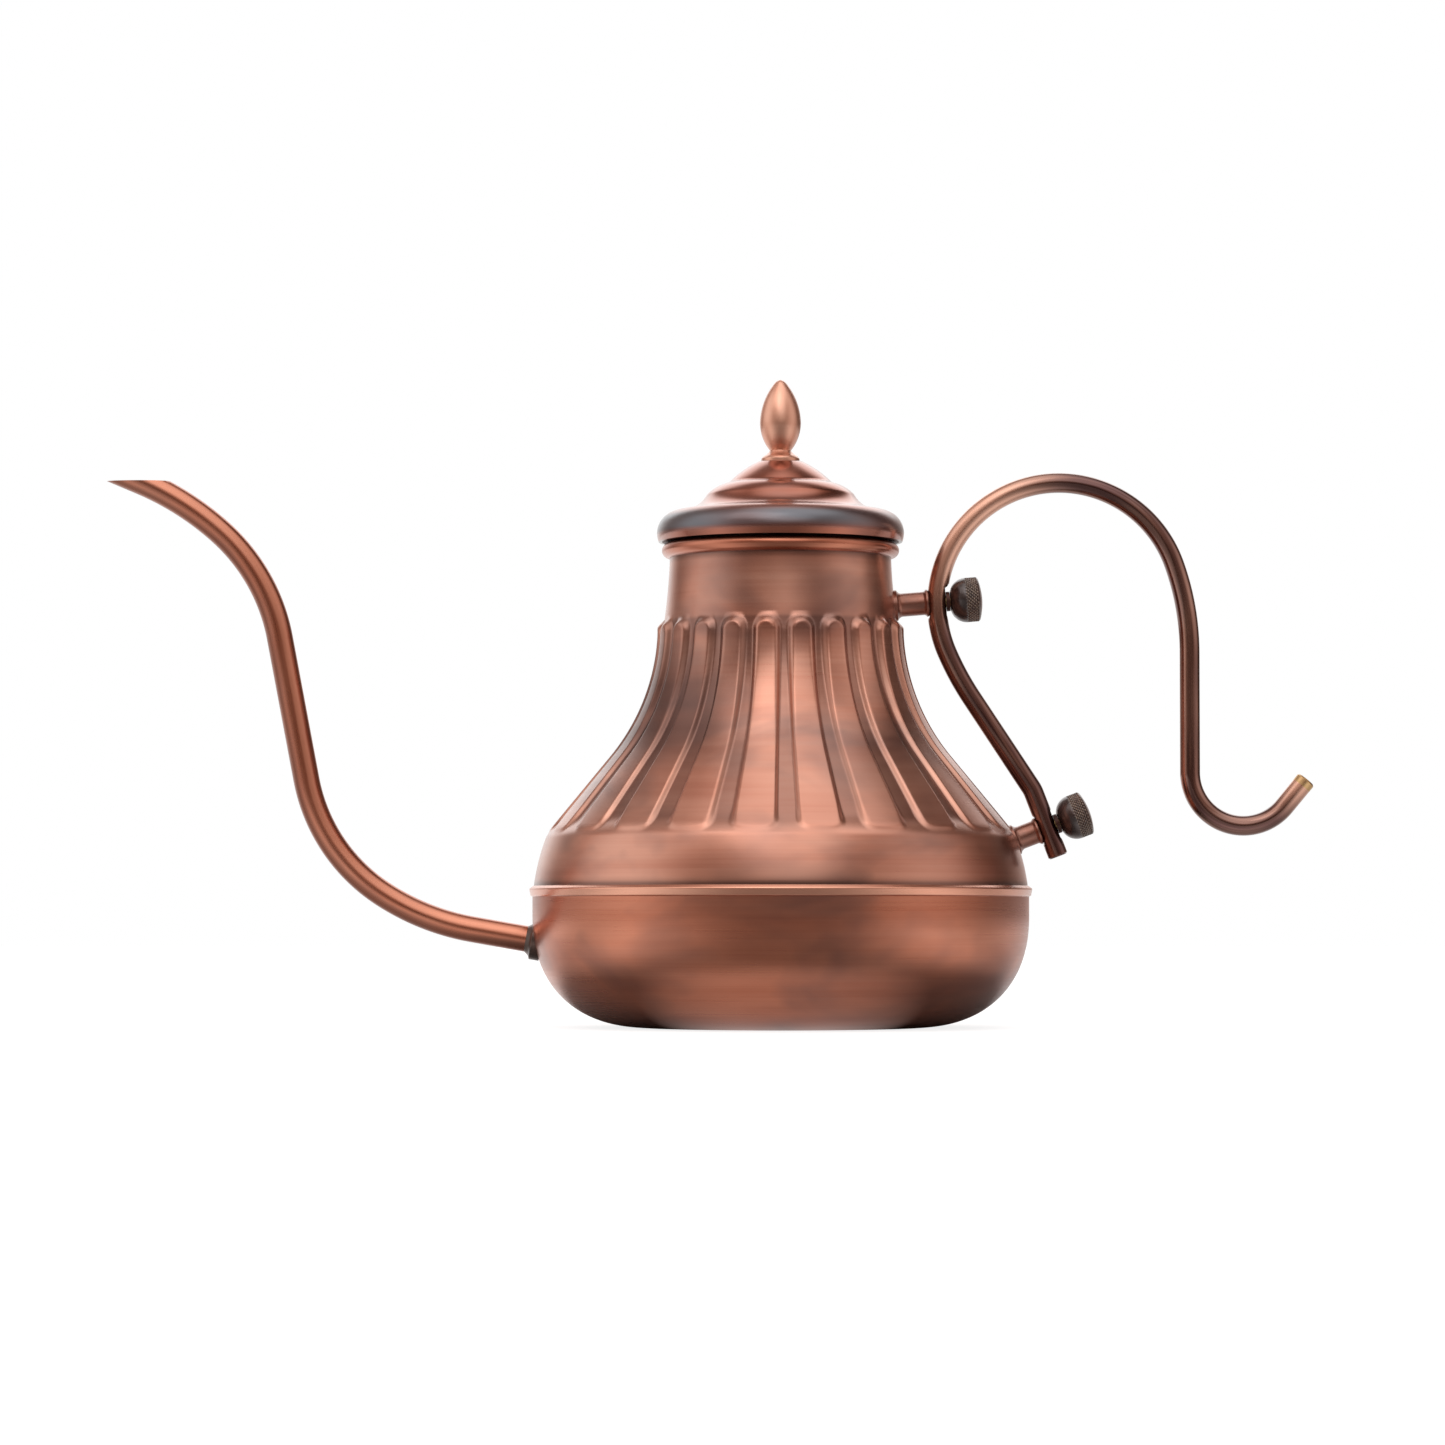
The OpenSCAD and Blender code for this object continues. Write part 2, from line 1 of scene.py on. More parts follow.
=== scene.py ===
"""Looks for a gooseneck pour-over kettle: antique copper pot, spout, rod handle and lid."""

import json
import math

import bmesh
import bpy
import numpy as np
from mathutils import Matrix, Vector


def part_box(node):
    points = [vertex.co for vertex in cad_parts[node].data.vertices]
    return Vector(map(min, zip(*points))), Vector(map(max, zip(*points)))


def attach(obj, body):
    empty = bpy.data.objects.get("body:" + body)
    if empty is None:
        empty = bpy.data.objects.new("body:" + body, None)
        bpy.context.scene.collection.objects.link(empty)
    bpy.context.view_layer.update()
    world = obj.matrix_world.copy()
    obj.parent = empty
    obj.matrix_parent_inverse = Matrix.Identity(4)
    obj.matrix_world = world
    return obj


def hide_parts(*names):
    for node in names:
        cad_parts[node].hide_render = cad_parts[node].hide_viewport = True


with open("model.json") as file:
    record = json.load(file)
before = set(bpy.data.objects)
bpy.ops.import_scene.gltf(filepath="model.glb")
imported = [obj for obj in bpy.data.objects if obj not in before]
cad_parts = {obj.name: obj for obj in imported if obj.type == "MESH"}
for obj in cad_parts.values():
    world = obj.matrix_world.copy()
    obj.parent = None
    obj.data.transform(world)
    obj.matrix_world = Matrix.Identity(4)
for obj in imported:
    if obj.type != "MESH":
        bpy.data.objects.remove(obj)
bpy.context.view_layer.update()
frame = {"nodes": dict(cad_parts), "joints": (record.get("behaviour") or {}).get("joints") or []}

bl_info = {
    "name": "Gooseneck Kettle",
    "version": (1, 0, 0),
    "blender": (4, 5, 0),
    "location": "3D View > Sidebar > Kettle",
    "description": "Dresses the pieces of a copper gooseneck kettle and sets its stage",
    "category": "Add Mesh",
}

MM = 0.001
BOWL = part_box("lower_bowl")
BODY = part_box("upper_body")
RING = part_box("mouth_ring")
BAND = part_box("seam_band")
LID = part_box("lid_shell")
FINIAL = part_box("finial")
JOINTS = {joint["name"]: joint for joint in frame["joints"]}
SIDES = 192

# Runs (length,) and bends (radius, turn in degrees) of the spout, from the bowl's wall outward.
SPOUT_PATH = [(16.6 * MM,), (64 * MM, -23.2), (46.5 * MM, -46), (38.4 * MM,), (50.4 * MM, 37.7),
              (77 * MM, 18.5), (30 * MM,)]

LENS = 120.3
CAMERA_PLACE = (-0.0154, -1.280, 0.0302)
CAMERA_TILT = math.radians(2.26)


# ---------------------------------------------------------------- sizes and colours


def length(name, description, default):
    return bpy.props.FloatProperty(
        name=name, description=description, default=default, subtype="DISTANCE", unit="LENGTH"
    )


def ratio(name, description, default, low=0.0, high=1.0):
    return bpy.props.FloatProperty(
        name=name, description=description, default=default, min=low, max=high
    )


def angle(name, description, degrees):
    return bpy.props.FloatProperty(
        name=name, description=description, default=math.radians(degrees), subtype="ANGLE"
    )


def colour(name, description, rgb):
    return bpy.props.FloatVectorProperty(
        name=name, description=description, default=rgb, size=3, subtype="COLOR", min=0, max=1
    )


class KettleBody(bpy.types.PropertyGroup):
    """Sizes of the pot's bowl, fluted shell and neck."""

    wall: length("Wall", "Sheet thickness", 0.8 * MM)
    flat_r: length("Flat radius", "Radius of the flat bottom", 35 * MM)
    belly_r: length("Belly radius", "Largest radius of the bowl", BOWL[1].x)
    belly_h: length("Belly height", "Height at which the bowl is widest", 30 * MM)
    fullness: ratio("Fullness", "Fullness of the bowl's curve, 2 is an ellipse", 2.3, 2, 3)
    crest_r: length("Crest radius", "Radius over the flutes at the waist", 32.7 * MM)
    sweep_r: length("Sweep radius", "Radius of the hollow below the waist", 55 * MM)
    slope: angle("Shoulder slope", "Steepness of the shoulder from vertical", 39.5)
    turn_r: length("Turn radius", "Radius of the tight turn at the shoulder's foot", 13 * MM)
    turn_end: angle("Turn end", "Lean at which the tight turn ends", 20)
    skirt_r: length("Skirt radius", "Radius of the curve down to the seam", 58.5 * MM)
    seam_lean: angle("Seam lean", "Lean of the wall just above the seam", 8)
    waist_lean: angle("Waist lean", "Lean of the wall at the waist", 3)
    flutes: bpy.props.IntProperty(name="Flutes", description="Number of flutes", default=22)
    groove_share: ratio("Groove share", "Share of the pitch taken by the groove", 0.34)
    panel_corner: length("Panel corner", "Rounding of the panels' lower corners", 3.2 * MM)
    fade_up: length("Fade above", "Run of the grooves' fading above the panels' feet", 5.0 * MM)
    fade_down: length("Fade below", "Run of the grooves' fading below the panels' feet", 1.9 * MM)
    groove_depth: length("Groove depth", "Depth of the grooves", 1.35 * MM)
    groove_edge: length("Groove edge", "Half width of the rounded edges", 0.65 * MM)
    head_run: length("Head run", "Run below the waist in which the edges widen", 25 * MM)
    foot_run: length("Foot run", "Run above the panels' feet in which the edges widen", 9 * MM)
    panel_lift: length("Panel lift", "Height of the panels' feet above the skirt", 1.8 * MM)
    band_grip: length("Band grip", "How far the shell's foot goes into the band", 0.4 * MM)
    flute_over: length("Flute overrun", "Height of the flute heads above the waist", 3.2 * MM)
    flute_turn: angle("Flute turn", "Angle by which the pattern is turned", 1)
    neck_h: length("Neck height", "Height of the neck above the waist", 20.6 * MM)
    neck_r: length("Neck radius", "Outer radius at the neck's top", 29.4 * MM)
    ring_sleeve: length("Ring sleeve", "Wall of the mouth ring's sleeve", 0.5 * MM)
    ring_inset: length("Ring inset", "How far the sleeve's bore is inside the neck", 1.32 * MM)


class KettleRods(bpy.types.PropertyGroup):
    """Sizes of the spout, the handle and what holds it."""

    spout_r: length("Spout radius", "Outer radius of the spout", 3.45 * MM)
    spout_wall: length("Spout wall", "Wall of the spout tube", 0.6 * MM)
    spout_h: length("Spout height", "Height at which the spout leaves the bowl", 23 * MM)
    spout_rise: angle("Spout rise", "Rise of the spout where it leaves the bowl", 10)
    collar_h: length("Collar", "Thickness of the collar's disc at the spout", 0.7 * MM)
    rod_r: length("Rod radius", "Radius of the handle rod", 2.65 * MM)
    flat_cut: length("Flat", "Depth of the spot faces on the rod", 0.35 * MM)
    post_r: length("Post radius", "Radius of the stand-offs", 3.1 * MM)
    post_collar_r: length("Post collar", "Radius of the stand-offs' collars", 3.6 * MM)
    post_foot_r: length("Post foot", "Radius of the stand-offs' feet", 4.1 * MM)
    washer: length("Washer", "Thickness of the washers", 0.9 * MM)
    play: length("Play", "Gap on each side of a washer", 0.15 * MM)
    knob_r: length("Knob radius", "Radius of the thumb-screw knobs", 5.9 * MM)
    knob_l: length("Knob length", "Length of the knobs", 8.5 * MM)
    knob_neck_r: length("Knob neck", "Radius of the knobs' flat end", 2.5 * MM)
    knob_crown: length("Knob crown", "Rise of the knobs' domed face", 0.9 * MM)
    knurl_pitch: length("Knurl pitch", "Distance between the knurl's ridges", 0.95 * MM)
    knurl_depth: length("Knurl depth", "Depth of the knurl", 0.28 * MM)


class KettleLid(bpy.types.PropertyGroup):
    """Sizes of the lid and its finial."""

    sheet: length("Sheet", "Sheet thickness", 0.8 * MM)
    hole_r: length("Hole radius", "Radius of the hole for the finial's screw", 1.55 * MM)
    rim_r: length("Rim rounding", "Radius of the rolled rim's section", 6 * MM)
    rim_h: length("Rim height", "Height of the section's centre over the rim's edge", 2.3 * MM)
    disc_r: length("Disc radius", "Radius of the raised disc", 19.6 * MM)
    disc_h: length("Disc height", "Rise from the rim to the disc", 4.3 * MM)
    dome_r: length("Dome radius", "Radius of the dome's foot", 13.9 * MM)
    dome_h: length("Dome height", "Rise from the disc to the dome's foot", 3.1 * MM)
    seat_r: length("Seat radius", "Radius of the flat under the finial", 6 * MM)
    seat_h: length("Seat height", "Rise from the dome's foot to the flat", 5.7 * MM)
    finial_r: length("Finial foot", "Radius of the finial's conical foot", 5.1 * MM)
    finial_neck_r: length("Finial neck", "Radius of the finial's neck", 2.8 * MM)
    finial_tip_r: length("Finial tip", "Radius where the finial's tip is rounded", 1.6 * MM)


class KettleColours(bpy.types.PropertyGroup):
    """Colours of the finishes."""

    pale: colour("Pale copper", "Pale burnished copper of the finial", (0.80, 0.43, 0.30))
    light: colour("Light copper", "Burnished copper of the fluted body", (0.73, 0.372, 0.262))
    copper: colour("Copper", "Burnished copper", (0.70, 0.285, 0.178))
    brown: colour("Brown", "Antique brown of the plated copper", (0.38, 0.10, 0.047))
    patina: colour("Patina", "Purple grey patina", (0.17, 0.09, 0.076))
    # Also painted shade: the black washers and sleeves, the spout's far side, the hollow over the
    # spout and the neck under the ring.
    dark_patina_and_shade: colour("Dark", "Darkest patina in corners", (0.05, 0.022, 0.018))
    # Painted reflection: this bluish near-black stands for a dim room mirrored in the lid's rolled
    # rim.
    blue: colour("Blue black", "Blue grey tone of the lid's rim", (0.12, 0.115, 0.13))
    umber: colour("Umber", "Dark brown of the handle", (0.11, 0.036, 0.029))
    knob: colour("Knob", "Blackened brass of the knobs", (0.075, 0.057, 0.054))
    post: colour("Post", "Brown plate of the stand-offs", (0.25, 0.11, 0.078))
    solder: colour("Solder", "Blackened solder round the spout", (0.10, 0.068, 0.056))
    brass: colour("Brass", "Bare brass", (0.66, 0.42, 0.20))
    fleck: colour("Fleck", "Brass showing on the knurl", (0.36, 0.26, 0.19))
    steel: colour("Steel", "Bare steel inside", (0.62, 0.61, 0.59))


GROUPS = {
    "kettle_body": KettleBody,
    "kettle_rods": KettleRods,
    "kettle_lid": KettleLid,
    "kettle_colours": KettleColours,
}


# ---------------------------------------------------------------- shader expressions


class Value:
    """A number socket for Python expressions: each operator adds a Math node."""

    def __init__(self, tree, socket):
        self.tree, self.socket = tree, socket

    def math(self, operation, *values):
        node = self.tree.nodes.new("ShaderNodeMath")
        node.operation = operation
        for slot, value in zip(node.inputs, values):
            if isinstance(value, Value):
                self.tree.links.new(value.socket, slot)
            else:
                slot.default_value = value
        return Value(self.tree, node.outputs[0])

    def __add__(self, other):
        return self.math("ADD", self, other)

    __radd__ = __add__

    def __sub__(self, other):
        return self.math("SUBTRACT", self, other)

    def __rsub__(self, other):
        return self.math("SUBTRACT", other, self)

    def __mul__(self, other):
        return self.math("MULTIPLY", self, other)

    __rmul__ = __mul__

    def __truediv__(self, other):
        return self.math("DIVIDE", self, other)

    def __pow__(self, other):
        return self.math("POWER", self, other)

    def ramp(self, low, high):
        """0 below low, 1 above high, straight between; low may be the larger."""
        node = self.tree.nodes.new("ShaderNodeMapRange")
        node.clamp = True
        self.tree.links.new(self.socket, node.inputs["Value"])
        node.inputs["From Min"].default_value = low
        node.inputs["From Max"].default_value = high
        return Value(self.tree, node.outputs["Result"])

    def least(self, other):
        return self.math("MINIMUM", self, other)

    def most(self, other):
        return self.math("MAXIMUM", self, other)


class Nodes:
    """A node tree, with one method that adds any node and shorthands for the ones used most."""

    def __init__(self, tree):
        self.tree = tree
        tree.nodes.clear()

    def node(self, kind, settings=None, inputs=None):
        node = self.tree.nodes.new(kind)
        for key, value in (settings or {}).items():
            setattr(node, key, value)
        for key, value in (inputs or {}).items():
            self.feed(node.inputs[key], value)
        return node

    def feed(self, slot, value):
        if isinstance(value, Value):
            self.tree.links.new(value.socket, slot)
        elif isinstance(value, bpy.types.NodeSocket):
            self.tree.links.new(value, slot)
        elif hasattr(value, "__len__") and len(value) == 3 and slot.type == "RGBA":
            slot.default_value = (*value, 1)
        else:
            slot.default_value = value

    def value(self, socket):
        return Value(self.tree, socket)

    def place(self, kind="Object"):
        """The point on a piece in metres, or the world's direction, as three numbers."""
        node = self.node("ShaderNodeTexCoord")
        parts = self.node("ShaderNodeSeparateXYZ", None, {"Vector": node.outputs[kind]})
        return [self.value(parts.outputs[k]) for k in range(3)]

    def rays(self, *kinds):
        """1 where the ray is of a kind, for each kind."""
        node = self.node("ShaderNodeLightPath")
        return [self.value(node.outputs[kind]) for kind in kinds]

    def attribute(self, name):
        return self.value(self.node("ShaderNodeAttribute", {"attribute_name": name}).outputs["Fac"])

    def vector(self, x, y, z):
        return self.node("ShaderNodeCombineXYZ", None, {"X": x, "Y": y, "Z": z}).outputs["Vector"]

    def noise(self, vector, detail=3.0, roughness=0.55, distortion=0.0):
        """Noise with cells one unit wide, so the vector sets how fine it is."""
        inputs = {"Vector": vector, "Scale": 1.0, "Detail": detail, "Roughness": roughness,
                  "Distortion": distortion}
        return self.value(self.node("ShaderNodeTexNoise", None, inputs).outputs["Fac"])

    def mix(self, factor, first, second):
        node = self.node("ShaderNodeMix", {"data_type": "RGBA"})
        self.feed(node.inputs[0], factor)
        self.feed(node.inputs[6], first)
        self.feed(node.inputs[7], second)
        return node.outputs[2]

    def bump(self, height, distance, strength=1.0):
        node = self.node(
            "ShaderNodeBump", None, {"Height": height, "Distance": distance, "Strength": strength}
        )
        return node.outputs["Normal"]


class Finish(Nodes):
    """A material with one Principled shader."""

    def __init__(self, name):
        self.material = bpy.data.materials.new(name)
        self.material.use_nodes = True
        super().__init__(self.material.node_tree)
        self.shader = self.node("ShaderNodeBsdfPrincipled")
        self.node("ShaderNodeOutputMaterial", None, {"Surface": self.shader.outputs["BSDF"]})

    def surface(self, **inputs):
        for key, value in inputs.items():
            self.feed(self.shader.inputs[key.replace("_", " ")], value)
        return self.material


# ---------------------------------------------------------------- mesh helpers


def mesh_object(name, points, faces):
    mesh = bpy.data.meshes.new(name)
    mesh.from_pydata([tuple(p) for p in points], [], faces)
    thing = bpy.data.objects.new(name, mesh)
    bpy.context.scene.collection.objects.link(thing)
    return thing


def piece(name, shape, materials, body, node, sharp=40, kinds=None):
    """A mesh object that rides a body in place of a CAD node.

    shape is its points and faces, and kinds gives each face's material by number. Edges
    sharper than sharp degrees aren't shaded smooth."""
    thing = mesh_object(name, *shape)
    mesh = thing.data
    mesh.validate()
    for material in materials:
        mesh.materials.append(material)
    if kinds is not None:
        mesh.polygons.foreach_set("material_index", kinds)
    mesh.polygons.foreach_set("use_smooth", [True] * len(mesh.polygons))
    mesh.set_sharp_from_angle(angle=math.radians(sharp))
    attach(thing, body)
    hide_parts(node)
    return thing


def arc(start, end, turn, steps):
    """Points of an arc from start to end that turns by turn degrees, without start itself."""
    (x0, y0), (x1, y1) = start, end
    half = math.radians(turn) / 2
    radius = math.hypot(x1 - x0, y1 - y0) / (2 * math.sin(half))
    heading = math.atan2(y1 - y0, x1 - x0) - half
    return [
        (
            x0 + radius * (math.sin(heading + 2 * half * k / steps) - math.sin(heading)),
            y0 + radius * (math.cos(heading) - math.cos(heading + 2 * half * k / steps)),
        )
        for k in range(1, steps + 1)
    ]


def lathe(outline, sides=SIDES):
    """Points and faces of a closed outline of (radius, height) turned about +Z, and for each
    face the number of the outline's point that its strip starts from."""
    points, rings = [], []
    for radius, height in outline:
        if radius < 1e-7:
            rings.append([len(points)])
            points.append((0, 0, height))
            continue
        rings.append(list(range(len(points), len(points) + sides)))
        for k in range(sides):
            turn = 2 * math.pi * k / sides
            points.append((radius * math.cos(turn), radius * math.sin(turn), height))
    faces, strip = [], []
    for index, low in enumerate(rings):
        high = rings[(index + 1) % len(rings)]
        if len(low) == 1 and len(high) == 1:
            continue
        for k in range(sides):
            n = (k + 1) % sides
            if len(low) == 1:
                faces.append((low[0], high[n], high[k]))
            elif len(high) == 1:
                faces.append((low[k], low[n], high[0]))
            else:
                faces.append((low[k], low[n], high[n], high[k]))
            strip.append(index)
    return points, faces, strip


def rounded_corner(before, corner, after, radius, steps=4):
    """Points of a corner of an outline, rounded."""
    a, b = Vector(before) - Vector(corner), Vector(after) - Vector(corner)
    a.normalize()
    b.normalize()
    half = a.angle(b) / 2
    reach = radius / math.tan(half)
    start, end = Vector(corner) + a * reach, Vector(corner) + b * reach
    turn = math.degrees(math.pi - 2 * half) * (1 if a.cross(b) < 0 else -1)
    return [tuple(start)] + arc(start, end, turn, steps)


def lay(points, place, axis, lift=0.0):
    """Points made about +Z, lifted and then laid along an axis through a place."""
    turn = Vector((0, 0, 1)).rotation_difference(axis).to_matrix()
    return [turn @ (Vector(p) + Vector((0, 0, lift))) + place for p in points]


def screw_axis(side):
    """Where the upper or lower thumb screw's axis crosses the rod's middle, and its direction."""
    joint = JOINTS[f"{side}_screw_turn"]
    return Vector(joint["pos_m"]), Vector(joint["axis"])


# ---------------------------------------------------------------- paths


def step(at, segment):
    """The place and heading after one segment: (length,) or (radius, turn in degrees)."""
    x, z, heading = at
    if len(segment) == 1:
        return (x + segment[0] * math.cos(heading), z + segment[0] * math.sin(heading), heading)
    radius, turn = segment[0], math.radians(segment[1])
    side = 1 if turn > 0 else -1
    after = heading + turn
    return (
        x + side * radius * (math.sin(after) - math.sin(heading)),
        z - side * radius * (math.cos(after) - math.cos(heading)),
        after,
    )


def walk(start, segments, gap=1.2 * MM):
    """Places along a path, close together in the bends."""
    places, at, run = [(*start, 0.0)], start, 0.0
    for segment in segments:
        whole = segment[0] if len(segment) == 1 else segment[0] * abs(math.radians(segment[1]))
        count = max(2, round(whole / gap))
        for k in range(1, count + 1):
            part = (*segment[:-1], segment[-1] * k / count)
            places.append((*step(at, part), run + whole * k / count))
        at, run = step(at, segment), run + whole
    return places


def ring_round(place, radius, sides=48):
    """A ring of points round a place of a path in the XZ plane."""
    x, z, heading = place[:3]
    turns = [2 * math.pi * k / sides for k in range(sides)]
    return [
        (
            x - radius * math.cos(turn) * math.sin(heading),
            radius * math.sin(turn),
            z + radius * math.cos(turn) * math.cos(heading),
        )
        for turn in turns
    ]


def skin(rings, closed_ends=True):
    """Points and faces of a tube through rings of equal length."""
    sides = len(rings[0])
    points = [p for ring in rings for p in ring]
    faces = []
    for low in range(0, len(points) - sides, sides):
        high = low + sides
        faces += [
            (low + k, low + (k + 1) % sides, high + (k + 1) % sides, high + k)
            for k in range(sides)
        ]
    if closed_ends:
        faces.append(tuple(range(sides - 1, -1, -1)))
        faces.append(tuple(range(len(points) - sides, len(points))))
    return points, faces


# ---------------------------------------------------------------- forms of the pot


def bowl_radius(body, z):
    """The bowl's outer radius at a height."""
    drop = abs(body.belly_h - z) / body.belly_h
    return body.flat_r + (body.belly_r - body.flat_r) * (1 - drop**body.fullness) ** (
        1 / body.fullness
    )


def bowl_side(body, inset, steps=72):
    """Outline of the bowl from the flat's edge to its top, inset from the outside."""
    heights = [body.belly_h * (1 - math.cos(math.pi / 2 * k / steps)) for k in range(1, steps + 1)]
    side = [(body.flat_r, inset)]
    side += [(bowl_radius(body, z) - inset, z) for z in heights if z > 1.6 * inset]
    return side + [(body.belly_r - inset, BOWL[1].z)]


class Meridian:
    """The upper body's outline, from the seam to the top of the neck."""

    def __init__(self, body):
        self.body = body
        self.foot = (body.belly_r - body.band_grip, BAND[1].z + body.band_grip)
        self.skirt_top = self.lean(self.foot, body.skirt_r, body.seam_lean, body.turn_end)
        self.turn_top = self.lean(self.skirt_top, body.turn_r, body.turn_end, body.slope)
        sweep_r = body.crest_r + body.sweep_r * (math.cos(body.waist_lean) - math.cos(body.slope))
        self.sweep_foot = (
            sweep_r,
            self.turn_top[1] + (self.turn_top[0] - sweep_r) / math.tan(body.slope),
        )
        self.waist_z = self.sweep_foot[1] + body.sweep_r * (
            math.sin(body.slope) - math.sin(body.waist_lean)
        )
        self.top = BODY[1].z
        self.head_z = self.waist_z + body.flute_over
        self.panel_foot = self.skirt_top[1] + body.panel_lift

    @staticmethod
    def lean(start, radius, low, high):
        return (
            start[0] + radius * (math.cos(high) - math.cos(low)),
            start[1] + radius * (math.sin(high) - math.sin(low)),
        )

    def neck(self, z):
        body = self.body
        floor = body.crest_r - body.groove_depth - body.neck_r
        return body.neck_r + floor * max(0, (self.top - z) / body.neck_h) ** 1.5

    def crests(self):
        """(radius, height) of the crests, from the seam up to the flute heads."""
        body, spread = self.body, np.linspace
        points = [(self.foot[0], BOWL[1].z), self.foot]
        points += [self.lean(self.foot, body.skirt_r, body.seam_lean, a)
                   for a in spread(body.seam_lean, body.turn_end, 14)[1:]]
        points += [self.lean(self.skirt_top, body.turn_r, body.turn_end, a)
                   for a in spread(body.turn_end, body.slope, 16)[1:]]
        points += [tuple(p) for p in spread(self.turn_top, self.sweep_foot, 26)[1:]]
        points += [
            (
                body.crest_r + body.sweep_r * (math.cos(body.waist_lean) - math.cos(a)),
                self.waist_z - body.sweep_r * (math.sin(a) - math.sin(body.waist_lean)),
            )
            for a in spread(body.slope, body.waist_lean, 30)[1:]
        ]
        points += [(body.crest_r, z) for z in spread(self.waist_z, self.head_z, 16)[1:]]
        return points

    def groove(self, radius, z, turn):
        """How far the surface is below the crests, 0 to 1, at an angle from a groove's middle."""
        body = self.body
        pitch = 2 * math.pi / body.flutes * radius
        half = pitch * (1 - body.groove_share) / 2
        across = pitch / 2 - abs(turn) * radius
        above = z - self.head_z + half
        up = (z - self.panel_foot) / math.cos(body.slope)
        if above > 0:
            past = math.hypot(across, above) - half
        else:
            x, y = across - half + body.panel_corner, body.panel_corner - up
            past = math.hypot(max(x, 0), max(y, 0)) + min(max(x, y), 0) - body.panel_corner
        fade = (up + body.fade_down) / (body.fade_up + body.fade_down)
        head, foot = (z - self.waist_z) / body.head_run + 1, 1 - up / body.foot_run
        soft = body.groove_edge * (1 + 0.6 * smooth(head) + 0.9 * smooth(foot))
        soft += 0.4 * MM * smooth(above / half)
        return smooth((past / soft + 1) / 2) * smooth(fade)

    def floor(self, radius, z):
        return self.neck(z) if z > self.waist_z else radius - self.body.groove_depth


def smooth(x):
    """0 below 0, 1 above 1, with an easy slope between."""
    x = max(0.0, min(1.0, x))
    return x * x * (3 - 2 * x)


def turns_round(body):
    """Shares of a pitch at which a flute's points stand, close together on its edges, and every
    point's angle."""
    pitch = 2 * math.pi / body.flutes
    half = [0.05, 0.09, 0.115, 0.135, 0.15, 0.165, 0.18, 0.195, 0.215, 0.24, 0.28, 0.34, 0.42]
    shares = [-0.5, *(-share for share in reversed(half)), 0.0, *half]
    first = -math.pi / 2 + body.flute_turn
    return shares, [first + pitch * (k + share) for k in range(body.flutes) for share in shares]


def fluted_rings(body, form, shares, turns):
    """Rings of the outside, with the groove mask of each point."""
    pitch = 2 * math.pi / body.flutes
    rings, mask = [], []
    for radius, z in form.crests():
        depth = radius - form.floor(radius, z)
        row = [form.groove(radius, z, pitch * share) for share in shares] * body.flutes
        around = [radius - m * depth for m in row]
        rings.append([(r * math.cos(t), r * math.sin(t), z) for r, t in zip(around, turns)])
        mask += row
    return rings, mask


def plain_rings(outline, turns):
    return [[(r * math.cos(turn), r * math.sin(turn), z) for turn in turns] for r, z in outline]


def lid_side(lid, inset):
    """Outline of the lid from its rim's lower edge to the finial's seat, inset from the outside."""
    centre = Vector((LID[1].x - lid.rim_r, LID[0].z + lid.rim_h))
    disc = Vector((lid.disc_r, centre.y + lid.rim_r + lid.disc_h))
    dome = Vector((lid.dome_r, disc.y + lid.dome_h))
    seat = Vector((lid.seat_r, dome.y + lid.seat_h))
    r = lid.rim_r - inset
    start = -math.asin(lid.rim_h / r)
    rim = [
        (centre.x + r * math.cos(a), centre.y + r * math.sin(a))
        for a in np.linspace(start, math.pi / 2, 30)
    ]
    top = (centre.x, centre.y + r)
    disc, dome = disc - Vector((0.87, 0.5)) * inset, dome - Vector((0.5, 0.87)) * inset
    seat = seat - Vector((0, inset))
    return rim + arc(top, disc, -60, 18) + arc(disc, dome, 38, 14) + arc(dome, seat, 20, 12)


# ---------------------------------------------------------------- finishes


